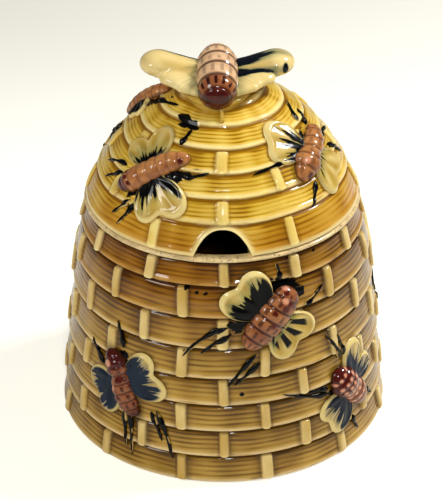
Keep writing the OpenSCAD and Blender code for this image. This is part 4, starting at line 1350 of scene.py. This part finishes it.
def finish_wing_clay(name, mesh, node, flute, fair, seed, fill, cold):
    """Paints a piece of the knob as wing clay, with its ink, and finishes it."""
    out, ahead = knob_places(points_of(mesh))
    share = np.clip(np.hypot(out, ahead) / KNOB_REACH, 0, 1)
    wing_paint(mesh, (fill, 0.3, cold, 0.9, 0), share=share, out=out / KNOB_REACH, flute=flute,
               angle=np.arctan2(ahead, out + 3), fair=fair, seed=seed)
    finish_piece(name, mesh, "lid", [node], wing_glaze)


# %% The knob's wings and dish, melted and finished
for hand, side, brush in ((-1, "left", left_ink), (1, "right", right_ink)):
    bm = bmesh.new()
    for chain in (FORE_LOBE, HIND_LOBE, DISH_EDGE):
        chain_of_clay(bm, chain, hand)
    mesh = melt(mesh_from(bm), 5)
    co = points_of(mesh)
    out, _ = knob_places(co)
    # The crease between the two lobes is tinted amber as painted shade.
    crease = np.exp(-((co[:, 1] + 3.6) / 1.1) ** 2) * smooth(0, 3, out) * (1 - smooth(10, 14, out))
    finish_wing_clay("knob_" + side + "_wing_clay", mesh, "knob_wing_" + side, flute=-1.6 * crease,
                     fair=1, seed=11.0 + hand, fill=brush(co), cold=0.2)

bm = bmesh.new()
chain_of_clay(bm, DISH)
chain_of_clay(bm, DRIP)
finish_wing_clay("knob_pad_clay", melt(mesh_from(bm), 8), "knob_pad", flute=-1.1, fair=0, seed=11.0,
                 fill=-1, cold=0)

# %% [markdown]
# ## Floor and light
# The pot stands on a plain pale floor, which takes its shadow. The floor glows a little, but only
# where the camera sees it, so the glow pales the background and puts no light on the pot. A soft lamp
# above the right makes the shine on the lid, and a wider and weaker one fills from the left. A small
# lamp in front lights the wall, and a very small one makes pin points of light on the glaze.

# %% Floor
floor_mesh = bpy.data.meshes.new("floor")
bm = bmesh.new()
bmesh.ops.create_grid(bm, x_segments=2, y_segments=2, size=3)
bm.to_mesh(floor_mesh)
bm.free()
floor = bpy.data.objects.new("floor", floor_mesh)
bpy.context.scene.collection.objects.link(floor)
s = Shader("pale_floor")
s.put(s.skin.inputs["Base Color"], s.mix(s.noise(3, 2), colour(236, 233, 220), colour(240, 238, 226)))
s.put(s.skin.inputs["Roughness"], 0.7)
rays = s.add("ShaderNodeLightPath")
s.put(s.skin.inputs["Emission Color"], colour(250, 248, 238))
back = s.add("ShaderNodeSeparateXYZ", {0: s.place}).outputs["Y"]
glow = s.scaled(s.step(0.3, 0.0, back), 0.4, 0.16)
s.put(s.skin.inputs["Emission Strength"], s.times(rays.outputs["Is Camera Ray"], glow))
floor_mesh.materials.append(s.material)
print("floor:", [round(v, 1) for v in floor.dimensions], "m")


# %% Lamps
def lamp(name, at, aim, width, height, watts):
    """A rectangle of light at one place that looks at another, in metres."""
    data = bpy.data.lights.new(name, "AREA")
    data.shape = "RECTANGLE"
    data.size, data.size_y = width, height
    data.energy = watts
    light = bpy.data.objects.new(name, data)
    look = (Vector(aim) - Vector(at)).to_track_quat("-Z", "Y").to_matrix().to_4x4()
    light.matrix_world = Matrix.Translation(at) @ look
    bpy.context.scene.collection.objects.link(light)
    print(name, "gives", watts, "W")


lamp("soft_right", (0.43, 0.12, 0.54), (0, 0, 0.07), 0.17, 0.14, 4.2)
lamp("soft_left", (-0.5, -0.35, 0.5), (0, 0, 0.05), 0.22, 0.22, 2.1)
lamp("front_fill", (0.05, -0.7, 0.55), (0, -0.06, 0), 0.07, 0.07, 1.9)
lamp("pin_left", (-0.03, -0.52, 0.45), (0, 0, 0.06), 0.012, 0.012, 0.2)
world = bpy.data.worlds.new("room")
bpy.context.scene.world = world
world.use_nodes = True
world.node_tree.nodes["Background"].inputs["Color"].default_value = (1, 0.98, 0.94, 1)
world.node_tree.nodes["Background"].inputs["Strength"].default_value = 0.12
